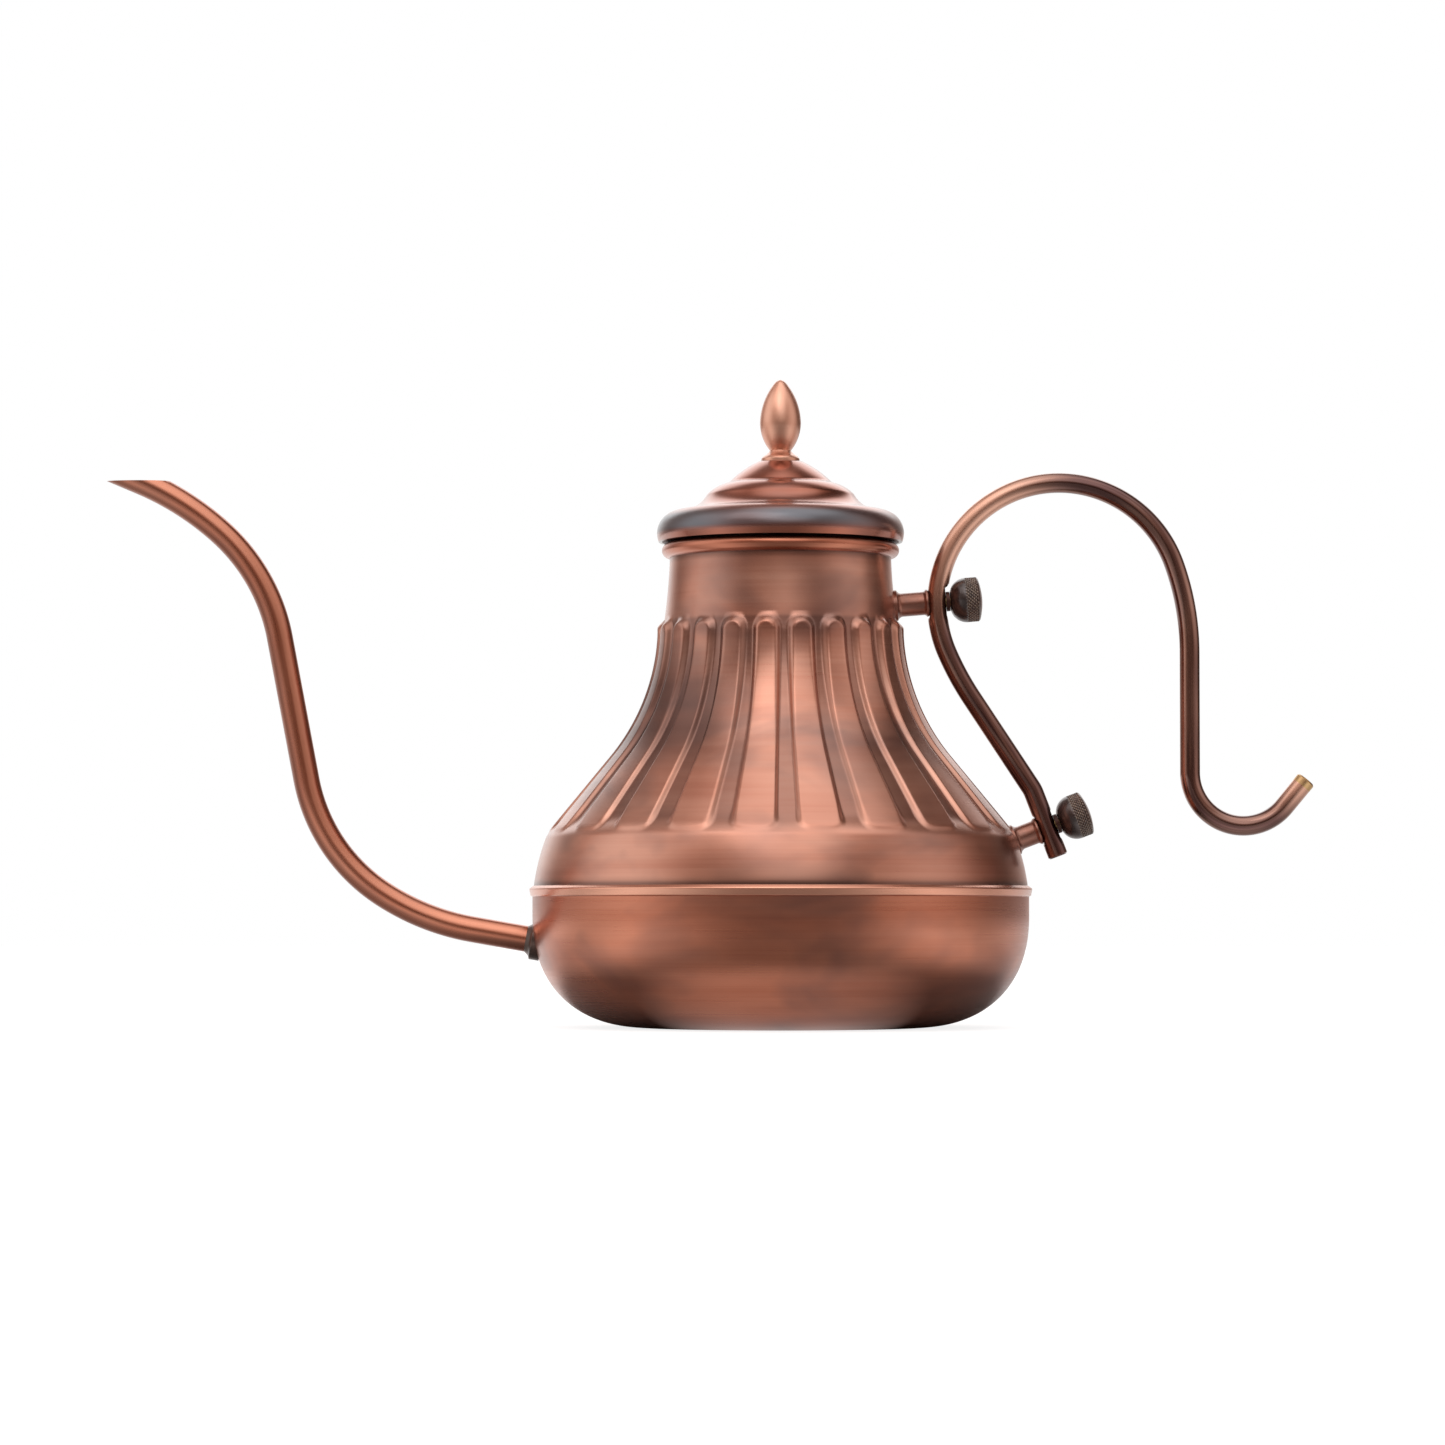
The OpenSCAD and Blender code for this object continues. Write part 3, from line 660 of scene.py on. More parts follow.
def antique_copper(name, colours, tone, patina, rough, coat, rod=False, deep=None, bright=None,
                   gloss=1.5):
    """Antique copper plate, rubbed bright on edges, patinated in hollows, with painted highlights,
    shade and reflections.

    Fine lines run round a spun piece, or along a rod. tone runs from the deep colour (0) to the
    bright one (1), patina is how much of it is stained, and gloss is the lacquer's index."""
    f = Finish(name)
    x, y, z = f.place()
    if rod:
        run, cx, cy = (f.attribute(mark) for mark in ("along", "around_x", "around_y"))
        fine = f.noise(f.vector(run * 40, cx * 5, cy * 5), 1.0, 0.5)
        broad = f.noise(f.vector(run * 30, cx * 0.7, cy * 0.7), 2.0)
        blots = f.noise(f.vector(run * 70, cx * 1.3, cy * 1.3), 2.0)
    else:
        level = z + (x * x + y * y) ** 0.5 * 0.6
        fine = f.noise(f.vector(x * 14, y * 14, level * 1500), 2.0)
        broad = f.noise(f.vector(x * 12, y * 12, level * 90), 2.0)
        blots = f.noise(f.vector(x * 24, y * 24, z * 45), 3.0, 0.55, 0.3)
    wear_and_highlight = f.attribute("edge")
    bright = bright or colours.copper
    base = f.mix((broad - 0.5) * 1.3 + (fine - 0.5) * 0.35 + tone, deep or colours.brown, bright)
    stain = ((blots.ramp(0.47, 0.69) + (fine - 0.5) * 0.2) * patina).ramp(0.0, 1.0)
    base = f.mix(stain, base, colours.patina)
    # Patina darkens the grooves and the foot's seam; the same mark is painted shadow under the ring
    # and painted shade on the spout's far side.
    base = f.mix(f.attribute("groove") * 0.42, base, colours.dark_patina_and_shade)
    # Painted reflection of a dim room: the lid's rolled rim turns bluish and nearly black.
    base = f.mix(f.attribute("band") * broad.ramp(0.15, 0.5), base, colours.blue)
    # Rubbed edges turn bright; on the spout and the handle's loop this is a painted highlight.
    base = f.mix(wear_and_highlight * 0.3, base, bright)
    if not rod:  # the hollow over the spout is stained, darkened with painted shade, and dull
        hollow = z.ramp(66 * MM, 78 * MM) * z.ramp(106 * MM, 90 * MM) * x.ramp(-5 * MM, -22 * MM)
        base = f.mix(hollow * broad.ramp(0.15, 0.5) * 0.85, base, colours.patina)
        base = f.mix(hollow * 0.4, base, colours.dark_patina_and_shade)
        coat = (1.0 - hollow * 0.7) * coat
    rough = rough + (fine - 0.5) * 0.12 + (blots - 0.5) * 0.14
    return f.surface(
        Base_Color=base,
        Metallic=0.97,
        Roughness=rough + f.attribute("band") * 0.16 + wear_and_highlight * 0.05,
        Normal=f.bump(fine * 0.7 + broad * 0.3, (0.003 if rod else 0.010) * MM, 0.6),
        Coat_Weight=coat,
        Coat_Roughness=0.1 if rod else 0.2,
        Coat_IOR=gloss,
    )


def dark_bronze(name, colours, tint, rough, coat, warm=0.2, bright_spots=None):
    """Dark plated brass: warm is how much brown shows, worn is the colour of its high spots."""
    f = Finish(name)
    x, y, z = f.place()
    fine = f.noise(f.vector(x * 900, y * 900, z * 900), 3.0, 0.6)
    blots = f.noise(f.vector(x * 220, y * 220, z * 220))
    wear_and_highlight = f.attribute("edge")
    base = f.mix(blots.ramp(0.4, 0.75) * warm, tint, colours.brown)
    base = f.mix((wear_and_highlight * 0.8 * fine.ramp(0.3, 0.6)).least(1.0), base, bright_spots or colours.copper)
    return f.surface(
        Base_Color=base,
        Metallic=0.9,
        Roughness=rough + (fine - 0.5) * 0.25,
        Normal=f.bump(fine, 0.02 * MM, 0.5),
        Coat_Weight=coat,
        Coat_Roughness=0.15,
    )


def bare_metal(name, tint, rough):
    """Spun bare metal: fine rings and slight cloudiness."""
    f = Finish(name)
    x, y, z = f.place()
    level = z + (x * x + y * y) ** 0.5
    fine = f.noise(f.vector(x * 20, y * 20, level * 1500), 3.0, 0.6)
    cloud = f.noise(f.vector(x * 60, y * 60, z * 60))
    base = f.mix(cloud.ramp(0.35, 0.8) * 0.35, tint, [0.55 * c for c in tint])
    return f.surface(
        Base_Color=base,
        Metallic=1.0,
        Roughness=rough + (fine - 0.5) * 0.2,
        Normal=f.bump(fine, 0.01 * MM, 0.5),
    )


FINISHES = {}


def finishes():
    """Every finish by name, made once."""
    if not FINISHES:
        c = bpy.context.scene.kettle_colours
        FINISHES.update(
            body=antique_copper("body_copper", c, 0.6, 0.7, 0.31, 0.8, bright=c.light),
            bowl=antique_copper("bowl_copper", c, 0.44, 0.6, 0.30, 0.3),
            band=antique_copper(
                "band_copper", c, 0.35, 0.0, 0.28, 0.6, deep=c.copper, bright=c.pale),
            ring=antique_copper("ring_copper", c, 0.5, 0.0, 0.28, 0.5),
            lid=antique_copper("lid_copper", c, 0.0, 0.35, 0.2, 0.8, gloss=1.6),
            finial=antique_copper(
                "finial_copper", c, 0.75, 0.0, 0.38, 0.8, deep=c.copper, bright=c.pale),
            spout=antique_copper("spout_copper", c, 0.36, 0.2, 0.28, 0.4, rod=True),
            handle=antique_copper(
                "handle_copper", c, 0.08, 0.3, 0.18, 0.9, rod=True, deep=c.umber, bright=c.pale),
            post=dark_bronze("post_brown", c, c.post, 0.34, 0.5, 0.4),
            solder=dark_bronze("solder_dark", c, c.solder, 0.38, 0.4),
            knob=dark_bronze("knob_black", c, c.knob, 0.34, 0.6, 0.1, c.fleck),
            # Painted shade: the washers and the sleeves of the ring and the lid are black for the
            # shade in their gaps and inside the mouth.
            black=dark_bronze("shade_black", c, c.dark_patina_and_shade, 0.5, 0.1),
            brass=bare_metal("screw_brass", [0.35 * k for k in c.brass], 0.35),
            bare=bare_metal("bare_brass", list(c.brass), 0.3),
            steel=bare_metal("bare_steel", list(c.steel), 0.3),
        )
    return FINISHES


def number(thing, name, values):
    """Stores one number per point, which a finish reads by name."""
    layer = thing.data.attributes.new(name, "FLOAT", "POINT")
    layer.data.foreach_set("value", np.asarray(values, np.float32))


def mark_run(thing, runs, sides):
    """Stores each point's place along a rod and round it."""
    turns = [2 * math.pi * k / sides for k in range(sides)]
    number(thing, "along", [run for run in runs for _ in range(sides)])
    number(thing, "around_x", [math.cos(turn) for turn in turns] * len(runs))
    number(thing, "around_y", [math.sin(turn) for turn in turns] * len(runs))


# ---------------------------------------------------------------- operators, one per piece or group


class KETTLE_OT_bowl(bpy.types.Operator):
    """Builds the round bowl under the seam"""

    bl_idname = "kettle.bowl"
    bl_label = "Bowl"

    def execute(self, context):
        body, look = context.scene.kettle_body, finishes()
        outside, inside = bowl_side(body, 0), bowl_side(body, body.wall)
        outline = [(0, 0), *outside, *reversed(inside), (0, body.wall)]
        points, faces, strip = lathe(outline)
        kinds = [1 if s > len(outside) else 0 for s in strip]
        bowl = piece("bowl_shell", (points, faces), [look["bowl"], look["steel"]], "pot",
                     "lower_bowl", 35, kinds)
        bar = walk(spout_start(context.scene, -2 * MM), [(4 * MM,)])
        hole_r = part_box("spout_tube")[1].y
        cut_through(bowl, [ring_round(place, hole_r) for place in bar])
        return {"FINISHED"}


class KETTLE_OT_band(bpy.types.Operator):
    """Builds the clinched band round the seam"""

    bl_idname = "kettle.band"
    bl_label = "Seam band"

    def execute(self, context):
        low, high, out = BAND[0].z, BAND[1].z, BAND[1].x
        lap, drawn_in = 0.2 * MM, 0.35 * MM
        inner = BOWL[1].x - lap
        corners = [(inner, low), (out - drawn_in, low + 0.4 * MM), (out, high - 0.75 * MM),
                   (inner, high)]
        outline = [corners[0]]
        outline += rounded_corner(*corners[:3], 0.35 * MM)
        outline += rounded_corner(*corners[1:], 0.6 * MM, 8)
        outline += [corners[3]]
        shape = lathe(outline)[:2]
        piece("clinched_band", shape, [finishes()["band"]], "pot", "seam_band", 50)
        return {"FINISHED"}


class KETTLE_OT_body(bpy.types.Operator):
    """Builds the fluted upper body with its neck"""

    bl_idname = "kettle.body"
    bl_label = "Fluted body"

    def execute(self, context):
        body, look = context.scene.kettle_body, finishes()
        form = Meridian(body)
        shares, turns = turns_round(body)
        rings, mask = fluted_rings(body, form, shares, turns)
        sides = len(rings[0])
        neck = [(form.neck(z), z) for z in np.linspace(form.head_z, form.top, 20)[1:]]
        above_skirt, every = 16, 6
        inside = [(r - body.wall - body.groove_depth, z)
                  for r, z in form.crests()[above_skirt::every]]
        inside = [(form.foot[0] - body.wall, BOWL[1].z), *inside]
        inside += [(form.neck(z) - body.wall, z) for z in np.linspace(form.head_z, form.top, 6)]
        outer = len(rings) + len(neck)
        rings += plain_rings(neck, turns) + plain_rings(inside[::-1], turns)
        points, faces = skin(rings + [rings[0]], False)
        count = len(rings) * sides
        faces = [tuple(k % count for k in face) for face in faces]
        points = points[:count]
        kinds = [0 if i // sides < outer else 1 for i in range(len(faces))]
        shell = piece("fluted_shell", (points, faces), [look["body"], look["steel"]], "pot",
                      "upper_body", 60, kinds)
        mask += [0.0] * (count - len(mask))
        # The panels' edges are rubbed, less so at their heads. The seam at the foot is darker, and
        # the neck's top under the ring is darkened with painted shadow.
        heights = [p[2] for p in points]
        kept = [1 - 0.7 * smooth((z - form.waist_z) / (6 * MM) + 1) for z in heights]
        number(shell, "edge", [4 * m * (1 - m) * k for m, k in zip(mask, kept)])
        seams_and_shadow = [smooth(1 - (z - form.foot[1]) / (1.4 * MM))
                 + smooth(1 + (z - form.top) / (1.8 * MM)) for z in heights]
        number(shell, "groove", [m + 1.6 * seam for m, seam in zip(mask, seams_and_shadow)])
        return {"FINISHED"}


class KETTLE_OT_ring(bpy.types.Operator):
    """Builds the rolled ring on the mouth"""

    bl_idname = "kettle.ring"
    bl_label = "Mouth ring"

    def execute(self, context):
        body, look = context.scene.kettle_body, finishes()
        top, out, low = RING[1].z, RING[1].x, BODY[1].z
        bead = (top - low) / 2
        inner = body.neck_r - body.ring_inset
        outer = inner + body.ring_sleeve
        outline = [(inner, RING[0].z), (outer, RING[0].z), (outer, low)]
        outline += [
            (out - bead + bead * math.cos(a), low + bead + bead * math.sin(a))
            for a in np.linspace(-math.pi / 2, math.pi / 2, 24)
        ]
        outline += arc(outline[-1], (inner, top - 0.8 * MM), 50, 6)
        points, faces, strip = lathe(outline)
        # Painted shade: the sleeve is black outside, at its foot and in its bore, for the shade
        # inside the mouth.
        kinds = [1 if s < 2 or s == len(outline) - 1 else 0 for s in strip]
        piece("rolled_ring", (points, faces), [look["ring"], look["black"]], "pot",
              "mouth_ring", 50, kinds)
        return {"FINISHED"}


def spout_start(scene, ahead):
    """The place on the spout's axis ahead of the bowl's wall, or inside it, and the heading."""
    body, rods = scene.kettle_body, scene.kettle_rods
    wall = (-bowl_radius(body, rods.spout_h), rods.spout_h, math.pi - rods.spout_rise)
    return step(wall, (ahead,))


def cut_through(thing, rings):
    """Cuts the shape of a swept bar out of a piece."""
    cutter = mesh_object("cutter", *skin(rings))
    tool = thing.modifiers.new("hole", "BOOLEAN")
    tool.operation, tool.solver, tool.object = "DIFFERENCE", "EXACT", cutter
    evaluated = thing.evaluated_get(bpy.context.evaluated_depsgraph_get())
    result = bpy.data.meshes.new_from_object(evaluated)
    thing.modifiers.clear()
    thing.data = result
    bpy.data.objects.remove(cutter)


class KETTLE_OT_spout(bpy.types.Operator):
    """Builds the bent spout, cut level at its tip, and its collar"""

    bl_idname = "kettle.spout"
    bl_label = "Spout"

    def execute(self, context):
        rods, look = context.scene.kettle_rods, finishes()
        inside = 1.6 * MM
        (first,), *rest = SPOUT_PATH
        places = walk(spout_start(context.scene, -inside), [(first + inside,), *rest])
        outer = [ring_round(place, rods.spout_r) for place in places]
        inner = [ring_round(place, rods.spout_r - rods.spout_wall) for place in places]
        sides = len(outer[0])
        points, faces = skin(inner[::-1] + outer, False)
        kinds = [1 if i // sides < len(inner) - 1 else 0 for i in range(len(faces))]
        tube = piece("bent_spout", (points, faces), [look["spout"], look["steel"]], "pot",
                     "spout_tube", 40, kinds)
        runs = [place[3] for place in places]
        mark_run(tube, runs[::-1] + runs, sides)
        # A painted highlight runs along the side toward the pot, and the far side is darkened with
        # painted shade.
        turns = [math.cos(2 * math.pi * k / sides) for k in range(sides)] * (2 * len(runs))
        number(tube, "edge", [2.8 * smooth(1.5 - abs(turn + 0.45) / 0.25) for turn in turns])
        number(tube, "groove", [1.1 * smooth((turn - 0.1) / 0.5) for turn in turns])
        level_cut(tube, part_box("spout_tube")[1].z)
        self.collar(context)
        return {"FINISHED"}

    def collar(self, context):
        """A flat disc against the bowl with a fillet of solder up to the tube."""
        rods = context.scene.kettle_rods
        bore, wide = rods.spout_r - 0.1 * MM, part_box("spout_collar")[1].y
        back, face = -2 * MM, rods.collar_h
        fillet = (rods.spout_r + 1.1 * MM, face + 0.1 * MM)
        outline = [(bore, back), (wide, back)]
        outline += rounded_corner((wide, back), (wide, face), fillet, 0.3 * MM)
        outline += arc(fillet, (bore, 2.4 * MM), -25, 6)
        points, faces, _ = lathe(outline, 64)
        x, z, heading = spout_start(context.scene, 0)
        axis = Vector((math.cos(heading), 0, math.sin(heading)))
        piece("solder_collar", (lay(points, Vector((x, 0, z)), axis), faces),
              [finishes()["solder"]], "pot", "spout_collar")


def level_cut(thing, z):
    """Cuts a double-walled tube level at z and closes the rim between its walls."""
    bm = bmesh.new()
    bm.from_mesh(thing.data)
    bmesh.ops.bisect_plane(bm, geom=bm.verts[:] + bm.edges[:] + bm.faces[:],
                           plane_co=(0, 0, z), plane_no=(0, 0, 1), clear_outer=True)
    rim = [e for e in bm.edges if e.is_boundary and all(abs(v.co.z - z) < 1e-6 for v in e.verts)]
    bmesh.ops.bridge_loops(bm, edges=rim)
    bmesh.ops.recalc_face_normals(bm, faces=bm.faces[:])
    bm.to_mesh(thing.data)
    bm.free()
    thing.data.set_sharp_from_angle(angle=math.radians(40))


class KETTLE_OT_handle(bpy.types.Operator):
    """Builds the bent-rod handle with its spot faces"""

    bl_idname = "kettle.handle"
    bl_label = "Handle"

    def execute(self, context):
        rods, look = context.scene.kettle_rods, finishes()
        sides, chamfer = 40, 0.4 * MM
        places = self.places()
        first, last = places[0], places[-1]
        places = [(*step(first[:3], (-chamfer,)), 0.0), *places,
                  (*step(last[:3], (chamfer,)), last[3])]
        radii = [rods.rod_r] * len(places)
        radii[0] = radii[-1] = rods.rod_r - chamfer
        rings = [ring_round(place, r, sides) for place, r in zip(places, radii)]
        points, faces = skin(rings)
        bare, ends = 4 * sides, 2
        kinds = [0] * (len(faces) - bare - ends) + [1] * (bare + ends)
        rod = piece("bent_rod", (self.spot_faced(points, rods), faces),
                    [look["handle"], look["bare"]], "pot", "handle_rod", 40, kinds)
        runs, whole = [place[3] for place in places], last[3]
        mark_run(rod, runs, sides)
        # The hook's end is rubbed bright, and the rising side of the loop carries a painted
        # highlight.
        bright_spots = [max(smooth(1 - (whole - run) / (14 * MM)),
                    smooth(1.3 - abs(run / whole - 0.365) / 0.10)) for run in runs]
        number(rod, "edge", [2.9 * w for w in bright_spots for _ in range(sides)])
        return {"FINISHED"}

    def places(self):
        """Places along the rod, from the tail up the leg, over the loop and down to the hook.

        The rod stands square to the lower screw, and the leg is as long as it takes for the
        loop's side to pass the upper screw."""
        (x, _, z), axis = screw_axis("lower")
        (upper_x, _, _), _ = screw_axis("upper")
        at = (x, z, math.atan2(axis.z, axis.x) + math.pi / 2)
        tail, foot, grip, end = 7.8 * MM, 9.7 * MM, 32 * MM, 8.8 * MM
        heel, ease, loop_r = (9 * MM, 12.4), (77 * MM, -10), 32.4 * MM
        drop, hook = (70 * MM, -19.6), (14.1 * MM, 140.5)
        lean = math.degrees(at[2]) + heel[1]
        side = step(step(step(step(at, (foot,)), heel), ease), (loop_r, 90 - ease[1] - lean))
        leg = (upper_x - side[0]) / math.cos(math.radians(lean))
        loop = (loop_r, -90 - ease[1] - drop[1] - lean)
        return walk(step(at, (-tail,)), [(tail + foot,), heel, (leg,), ease, loop, drop, (grip,),
                                         hook, (end,)], 0.6 * MM)

    def spot_faced(self, points, rods):
        """The points, with the rod flattened where a washer or a stand-off seats on it."""
        flat, seat_r = rods.rod_r - rods.flat_cut, 4.2 * MM
        out = []
        for p in (Vector(p) for p in points):
            for at, axis in (screw_axis("lower"), screw_axis("upper")):
                high = (p - at).dot(axis)
                beside = (p - at - axis * high).length
                if beside < seat_r and flat < abs(high) < 2 * rods.rod_r:
                    p = p - axis * (high - math.copysign(flat, high))
            out.append(p)
        return out


class KETTLE_OT_fixings(bpy.types.Operator):
    """Builds the stand-offs and the knurled thumb screws"""

    bl_idname = "kettle.fixings"
    bl_label = "Stand-offs and thumb screws"

    def execute(self, context):
        rods, look = context.scene.kettle_rods, finishes()
        for side in ("upper", "lower"):
            self.post(side, rods, look)
            self.knob(side, rods, look)
            # Painted shade: the washers are black for the shade in the gap under each knob.
            dress(f"{side}_washer", look["black"])
            dress(f"{side}_screw", look["brass"])
        return {"FINISHED"}

    def post(self, side, rods, look):
        """A turned post: collar at the rod, plain shank, flared foot let into the wall."""
        place, axis = screw_axis(side)
        top = rods.flat_cut - rods.rod_r
        shank, collar, foot_r = rods.post_r, rods.post_collar_r, rods.post_foot_r
        bevel, sunk = 0.2 * MM, 0.2 * MM
        wall_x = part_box(f"{side}_standoff")[0].x
        foot = (wall_x - place.x + foot_r * axis.z) / axis.x - sunk
        outline = [(0, top), (collar - bevel, top), (collar, top - bevel)]
        outline += [(collar, top - 3 * bevel), (collar - bevel, top - 4 * bevel)]
        outline += arc(outline[-1], (shank, top - 7 * bevel), 50, 5)
        outline += [(shank, foot + 2.1 * MM)]
        outline += arc(outline[-1], (foot_r, foot + 0.9 * MM), 55, 8)
        outline += [(foot_r, foot - 0.6 * MM), (0, foot - 0.6 * MM)]
        points, faces, _ = lathe(outline[::-1], 64)
        piece(f"{side}_post", (lay(points, place, axis), faces), [look["post"]], "pot",
              f"{side}_standoff")

    def knob(self, side, rods, look):
        """A knob domed toward the rod, with a diamond knurl between two plain edges."""
        r, whole, crown = rods.knob_r, rods.knob_l, rods.knob_crown
        pitch = rods.knurl_pitch
        count = round(2 * math.pi * r / pitch)
        low, high = 0.50 * whole, whole - crown - 0.55 * MM
        rows = int((high - low) / (pitch / 8)) + 1
        outline = [(0, 0), (rods.knob_neck_r, 0)]
        outline += arc(outline[-1], (r, 0.48 * whole), 75, 16)
        outline += [(r, z) for z in np.linspace(low, high, rows)]
        outline += [(r - 0.05 * MM, whole - crown - 0.35 * MM), (r - 0.4 * MM, whole - crown)]
        outline += arc(outline[-1], (0, whole), 2 * math.degrees(math.atan2(crown, r)), 8)
        outline[-1] = (0, whole)
        points, faces, _ = lathe(outline, count * 8)
        out, bright_spots = [], []
        for x, y, z in points:
            radius = math.hypot(x, y)
            if low <= z <= high and radius > r - 0.01 * MM:
                turn, climb = count * math.atan2(y, x), 2 * math.pi * (z - low) / pitch
                valley = min(abs(math.sin((turn + way * climb) / 2)) for way in (1, -1))
                ridge = smooth(valley / 0.75)
                cut = 1 - rods.knurl_depth * (1 - ridge) / radius
                out.append((x * cut, y * cut, z))
                bright_spots.append(max(0.25, ridge * 1.6 - 0.8))
            else:
                rim = abs(z - (whole - crown)) < 0.4 * MM and radius > r - MM
                out.append((x, y, z))
                bright_spots.append(0.35 if rim else 0.0)
        seat = rods.rod_r - rods.flat_cut + rods.washer + 2 * rods.play
        thing = piece(f"{side}_knurled_knob", (lay(out, *screw_axis(side), seat), faces),
                      [look["knob"]], f"{side}_thumb_screw", f"{side}_knob", 60)
        number(thing, "edge", bright_spots)


def dress(node, material):
    """Gives a CAD node its finish."""
    thing = frame["nodes"][node]
    thing.data.materials.clear()
    thing.data.materials.append(material)


class KETTLE_OT_lid(bpy.types.Operator):
    """Builds the lid with its finial"""

    bl_idname = "kettle.lid"
    bl_label = "Lid"

    def execute(self, context):
        lid, look = context.scene.kettle_lid, finishes()
        outside, inside = lid_side(lid, 0), lid_side(lid, lid.sheet)
        hole = [(lid.hole_r, outside[-1][1]), (lid.hole_r, inside[-1][1])]
        points, faces, strip = lathe([*outside, *hole, *reversed(inside)])
        kinds = [1 if s > len(outside) else 0 for s in strip]
        shell = piece("spun_lid", (points, faces), [look["lid"], look["steel"]], "lid",
                      "lid_shell", 40, kinds)
        low = LID[0].z
        # A painted reflection of a dim room makes the rolled rim bluish and nearly black between
        # its lower edge and its top.
        number(shell, "band", [
            smooth((math.hypot(x, y) - 24 * MM) / (3 * MM))
            * smooth((z - low - 1.1 * MM) / (1.8 * MM))
            * smooth((low + 8.1 * MM - z) / (2.2 * MM))
            for x, y, z in points
        ])
        self.finial(lid, look)
        # Painted shade: the lid's sleeve is black for the shade inside the mouth.
        dress("lid_sleeve", look["black"])
        for node in ("finial_washer", "finial_screw"):
            dress(node, look["steel"])
        return {"FINISHED"}

    def finial(self, lid, look):
        """A turned drop on a short neck and a conical foot."""
        base, top = FINIAL[0].z, FINIAL[1].z
        foot = [(lid.finial_r, base), (lid.finial_r, base + 0.8 * MM),
                (lid.finial_r - 0.6 * MM, base + 1.5 * MM)]
        neck = (lid.finial_neck_r, base + 3 * MM)
        belly = (FINIAL[1].x, base + 0.47 * (top - base))
        tip = (lid.finial_tip_r, top - MM)
        outline = [(0, base), foot[0], *rounded_corner(*foot, 0.25 * MM), foot[2]]
        outline += arc(foot[2], neck, -40, 8)
        outline += arc(neck, belly, 38, 24)
        outline += arc(belly, tip, 38, 28)
        outline += arc(tip, (0, top), 40, 6)
        outline[-1] = (0, top)
        shape = lathe(outline, 96)[:2]
        piece("turned_finial", shape, [look["finial"]], "lid", "finial")


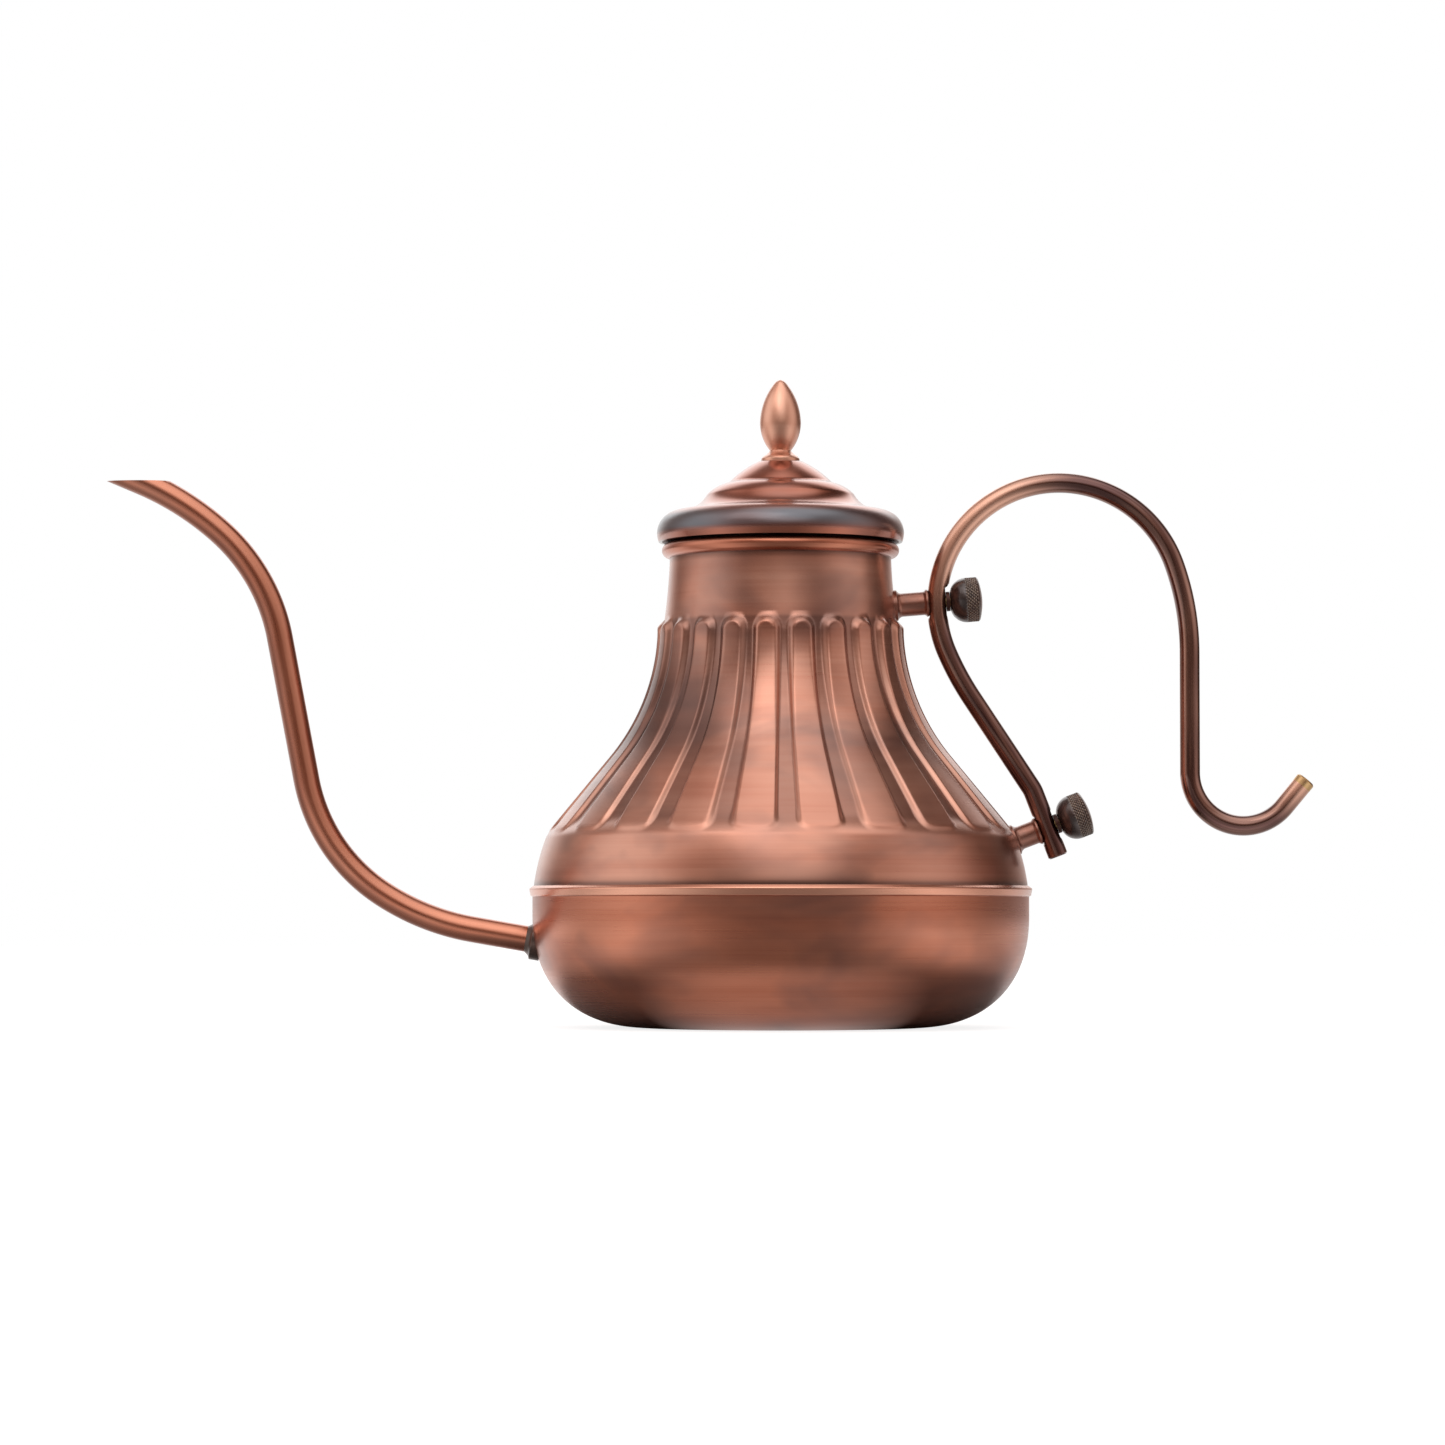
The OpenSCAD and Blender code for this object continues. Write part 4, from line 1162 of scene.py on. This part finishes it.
class KETTLE_OT_stage(bpy.types.Operator):
    """Sets the camera, the floor, the lamp and the world"""

    bl_idname = "kettle.stage"
    bl_label = "Stage"

    def execute(self, context):
        self.camera(context.scene)
        self.floor()
        self.lamp(context.scene)
        self.world(context.scene)
        context.scene.view_settings.view_transform = "Standard"
        return {"FINISHED"}

    def camera(self, scene):
        data = bpy.data.cameras.new("camera")
        data.lens, data.sensor_width = LENS, 36
        data.clip_start, data.clip_end = 0.05, 30
        camera = bpy.data.objects.new("camera", data)
        scene.collection.objects.link(camera)
        camera.location = CAMERA_PLACE
        camera.rotation_euler = (math.pi / 2 + CAMERA_TILT, 0, 0)
        scene.camera = camera

    def floor(self):
        """White paper. Metal sees it bright beside, behind and just before the pot."""
        size = 3.0
        f = Finish("floor_paper")
        x, y, z = f.place()
        grain = f.noise(f.vector(x * 400, y * 400, z))
        seen, mirrored = f.rays("Is Camera Ray", "Is Glossy Ray")
        away = (x * x + y * y) ** 0.5
        front = -1.0 * y / away
        beside = front.ramp(0.97, 0.55) * front.ramp(-0.25, 0.45) * away.ramp(0.075, 0.105) * 0.8
        behind = front.ramp(0.0, -0.4) * away.ramp(0.06, 0.08) * (x.ramp(0.05, -0.05) * 0.3 + 0.45)
        below = front.ramp(0.68, 0.97) * away.ramp(0.085, 0.07) * 0.45
        glow = seen * 0.83 + mirrored * (beside + behind + below)
        f.surface(Base_Color=(0.30, 0.30, 0.30), Roughness=0.9, Metallic=0.0,
                  Normal=f.bump(grain, 0.02 * MM, 0.2), Emission_Color=glow, Emission_Strength=1.0)
        corners = [(-size, -size, 0), (size, -size, 0), (size, size, 0), (-size, size, 0)]
        floor = mesh_object("floor", corners, [(0, 1, 2, 3)])
        floor.data.materials.append(f.material)

    def lamp(self, scene):
        """One weak, broad lamp on the left, which gives the floor its shadow."""
        data = bpy.data.lights.new("key", "AREA")
        data.shape, data.size, data.size_y, data.energy = "RECTANGLE", 1.2, 0.9, 3
        lamp = bpy.data.objects.new("key", data)
        scene.collection.objects.link(lamp)
        place, aim = Vector((-0.5, -0.9, 1.3)), Vector((0, 0, 0.08))
        lamp.location = place
        lamp.rotation_euler = (aim - place).to_track_quat("-Z", "Y").to_euler()

    def world(self, scene):
        """A lit wall behind, a large soft light on each side and one above the front, all set
        by direction. A camera sees white, and the dim parts are warm in tone."""
        world = bpy.data.worlds.new("studio")
        scene.world = world
        world.use_nodes = True
        studio = Nodes(world.node_tree)
        x, y, z = studio.place("Generated")
        flat = (x * x + y * y) ** 0.5
        side, back = x / flat, y / flat
        low = flat.ramp(0.40, 0.75)
        room = z.ramp(0.0, 0.2) * 0.28 + 0.08
        corner = side.ramp(0.45, 0.8) * back.ramp(0.0, 0.4)
        room = room * (1.0 - corner * 0.75)
        wall = y.ramp(0.68, 0.92) * (side.ramp(0.45, 0.0) * 0.6 + 0.22)
        upper = back.ramp(0.76, 0.90) * z.ramp(0.82, 0.70) * z.ramp(0.2, 0.4) * 1.2
        room = room + wall.most(upper)
        room = room + side.ramp(-0.68, -0.94) * back.ramp(0.62, 0.1) * low * 0.8
        room = room + side.ramp(0.62, 0.94) * back.ramp(0.42, -0.08) * low * 0.5
        front = (x * 0.06 - y * 0.72 + z * 0.69).ramp(0.86, 0.97)
        above = (x * 0.10 - y * 0.25 + z * 0.96).ramp(0.80, 0.96)
        room = room + front.most(above) * 1.15
        (seen,) = studio.rays("Is Camera Ray")
        strength = room * (1.0 - seen) + seen
        tint = studio.mix(strength.ramp(0.25, 1.1).most(seen), (1.0, 0.72, 0.62), (1, 1, 1))
        paint = studio.node("ShaderNodeBackground", None, {"Color": tint, "Strength": strength})
        studio.node("ShaderNodeOutputWorld", None, {"Surface": paint.outputs["Background"]})


class KETTLE_PT_panel(bpy.types.Panel):
    """Lists the kettle's pieces in the sidebar"""

    bl_idname = "KETTLE_PT_panel"
    bl_label = "Kettle"
    bl_space_type = "VIEW_3D"
    bl_region_type = "UI"
    bl_category = "Kettle"

    def draw(self, context):
        for kind in OPERATORS:
            self.layout.operator(kind.bl_idname)


OPERATORS = (
    KETTLE_OT_stage,
    KETTLE_OT_bowl,
    KETTLE_OT_band,
    KETTLE_OT_body,
    KETTLE_OT_ring,
    KETTLE_OT_spout,
    KETTLE_OT_handle,
    KETTLE_OT_fixings,
    KETTLE_OT_lid,
)


def register():
    for kind in (*GROUPS.values(), *OPERATORS, KETTLE_PT_panel):
        bpy.utils.register_class(kind)
    for name, kind in GROUPS.items():
        setattr(bpy.types.Scene, name, bpy.props.PointerProperty(type=kind))


def unregister():
    for name in GROUPS:
        delattr(bpy.types.Scene, name)
    for kind in reversed((*GROUPS.values(), *OPERATORS, KETTLE_PT_panel)):
        bpy.utils.unregister_class(kind)


def main():
    register()
    for kind in OPERATORS:
        group, name = kind.bl_idname.split(".")
        getattr(getattr(bpy.ops, group), name)()


if __name__ == "__main__":
    main()
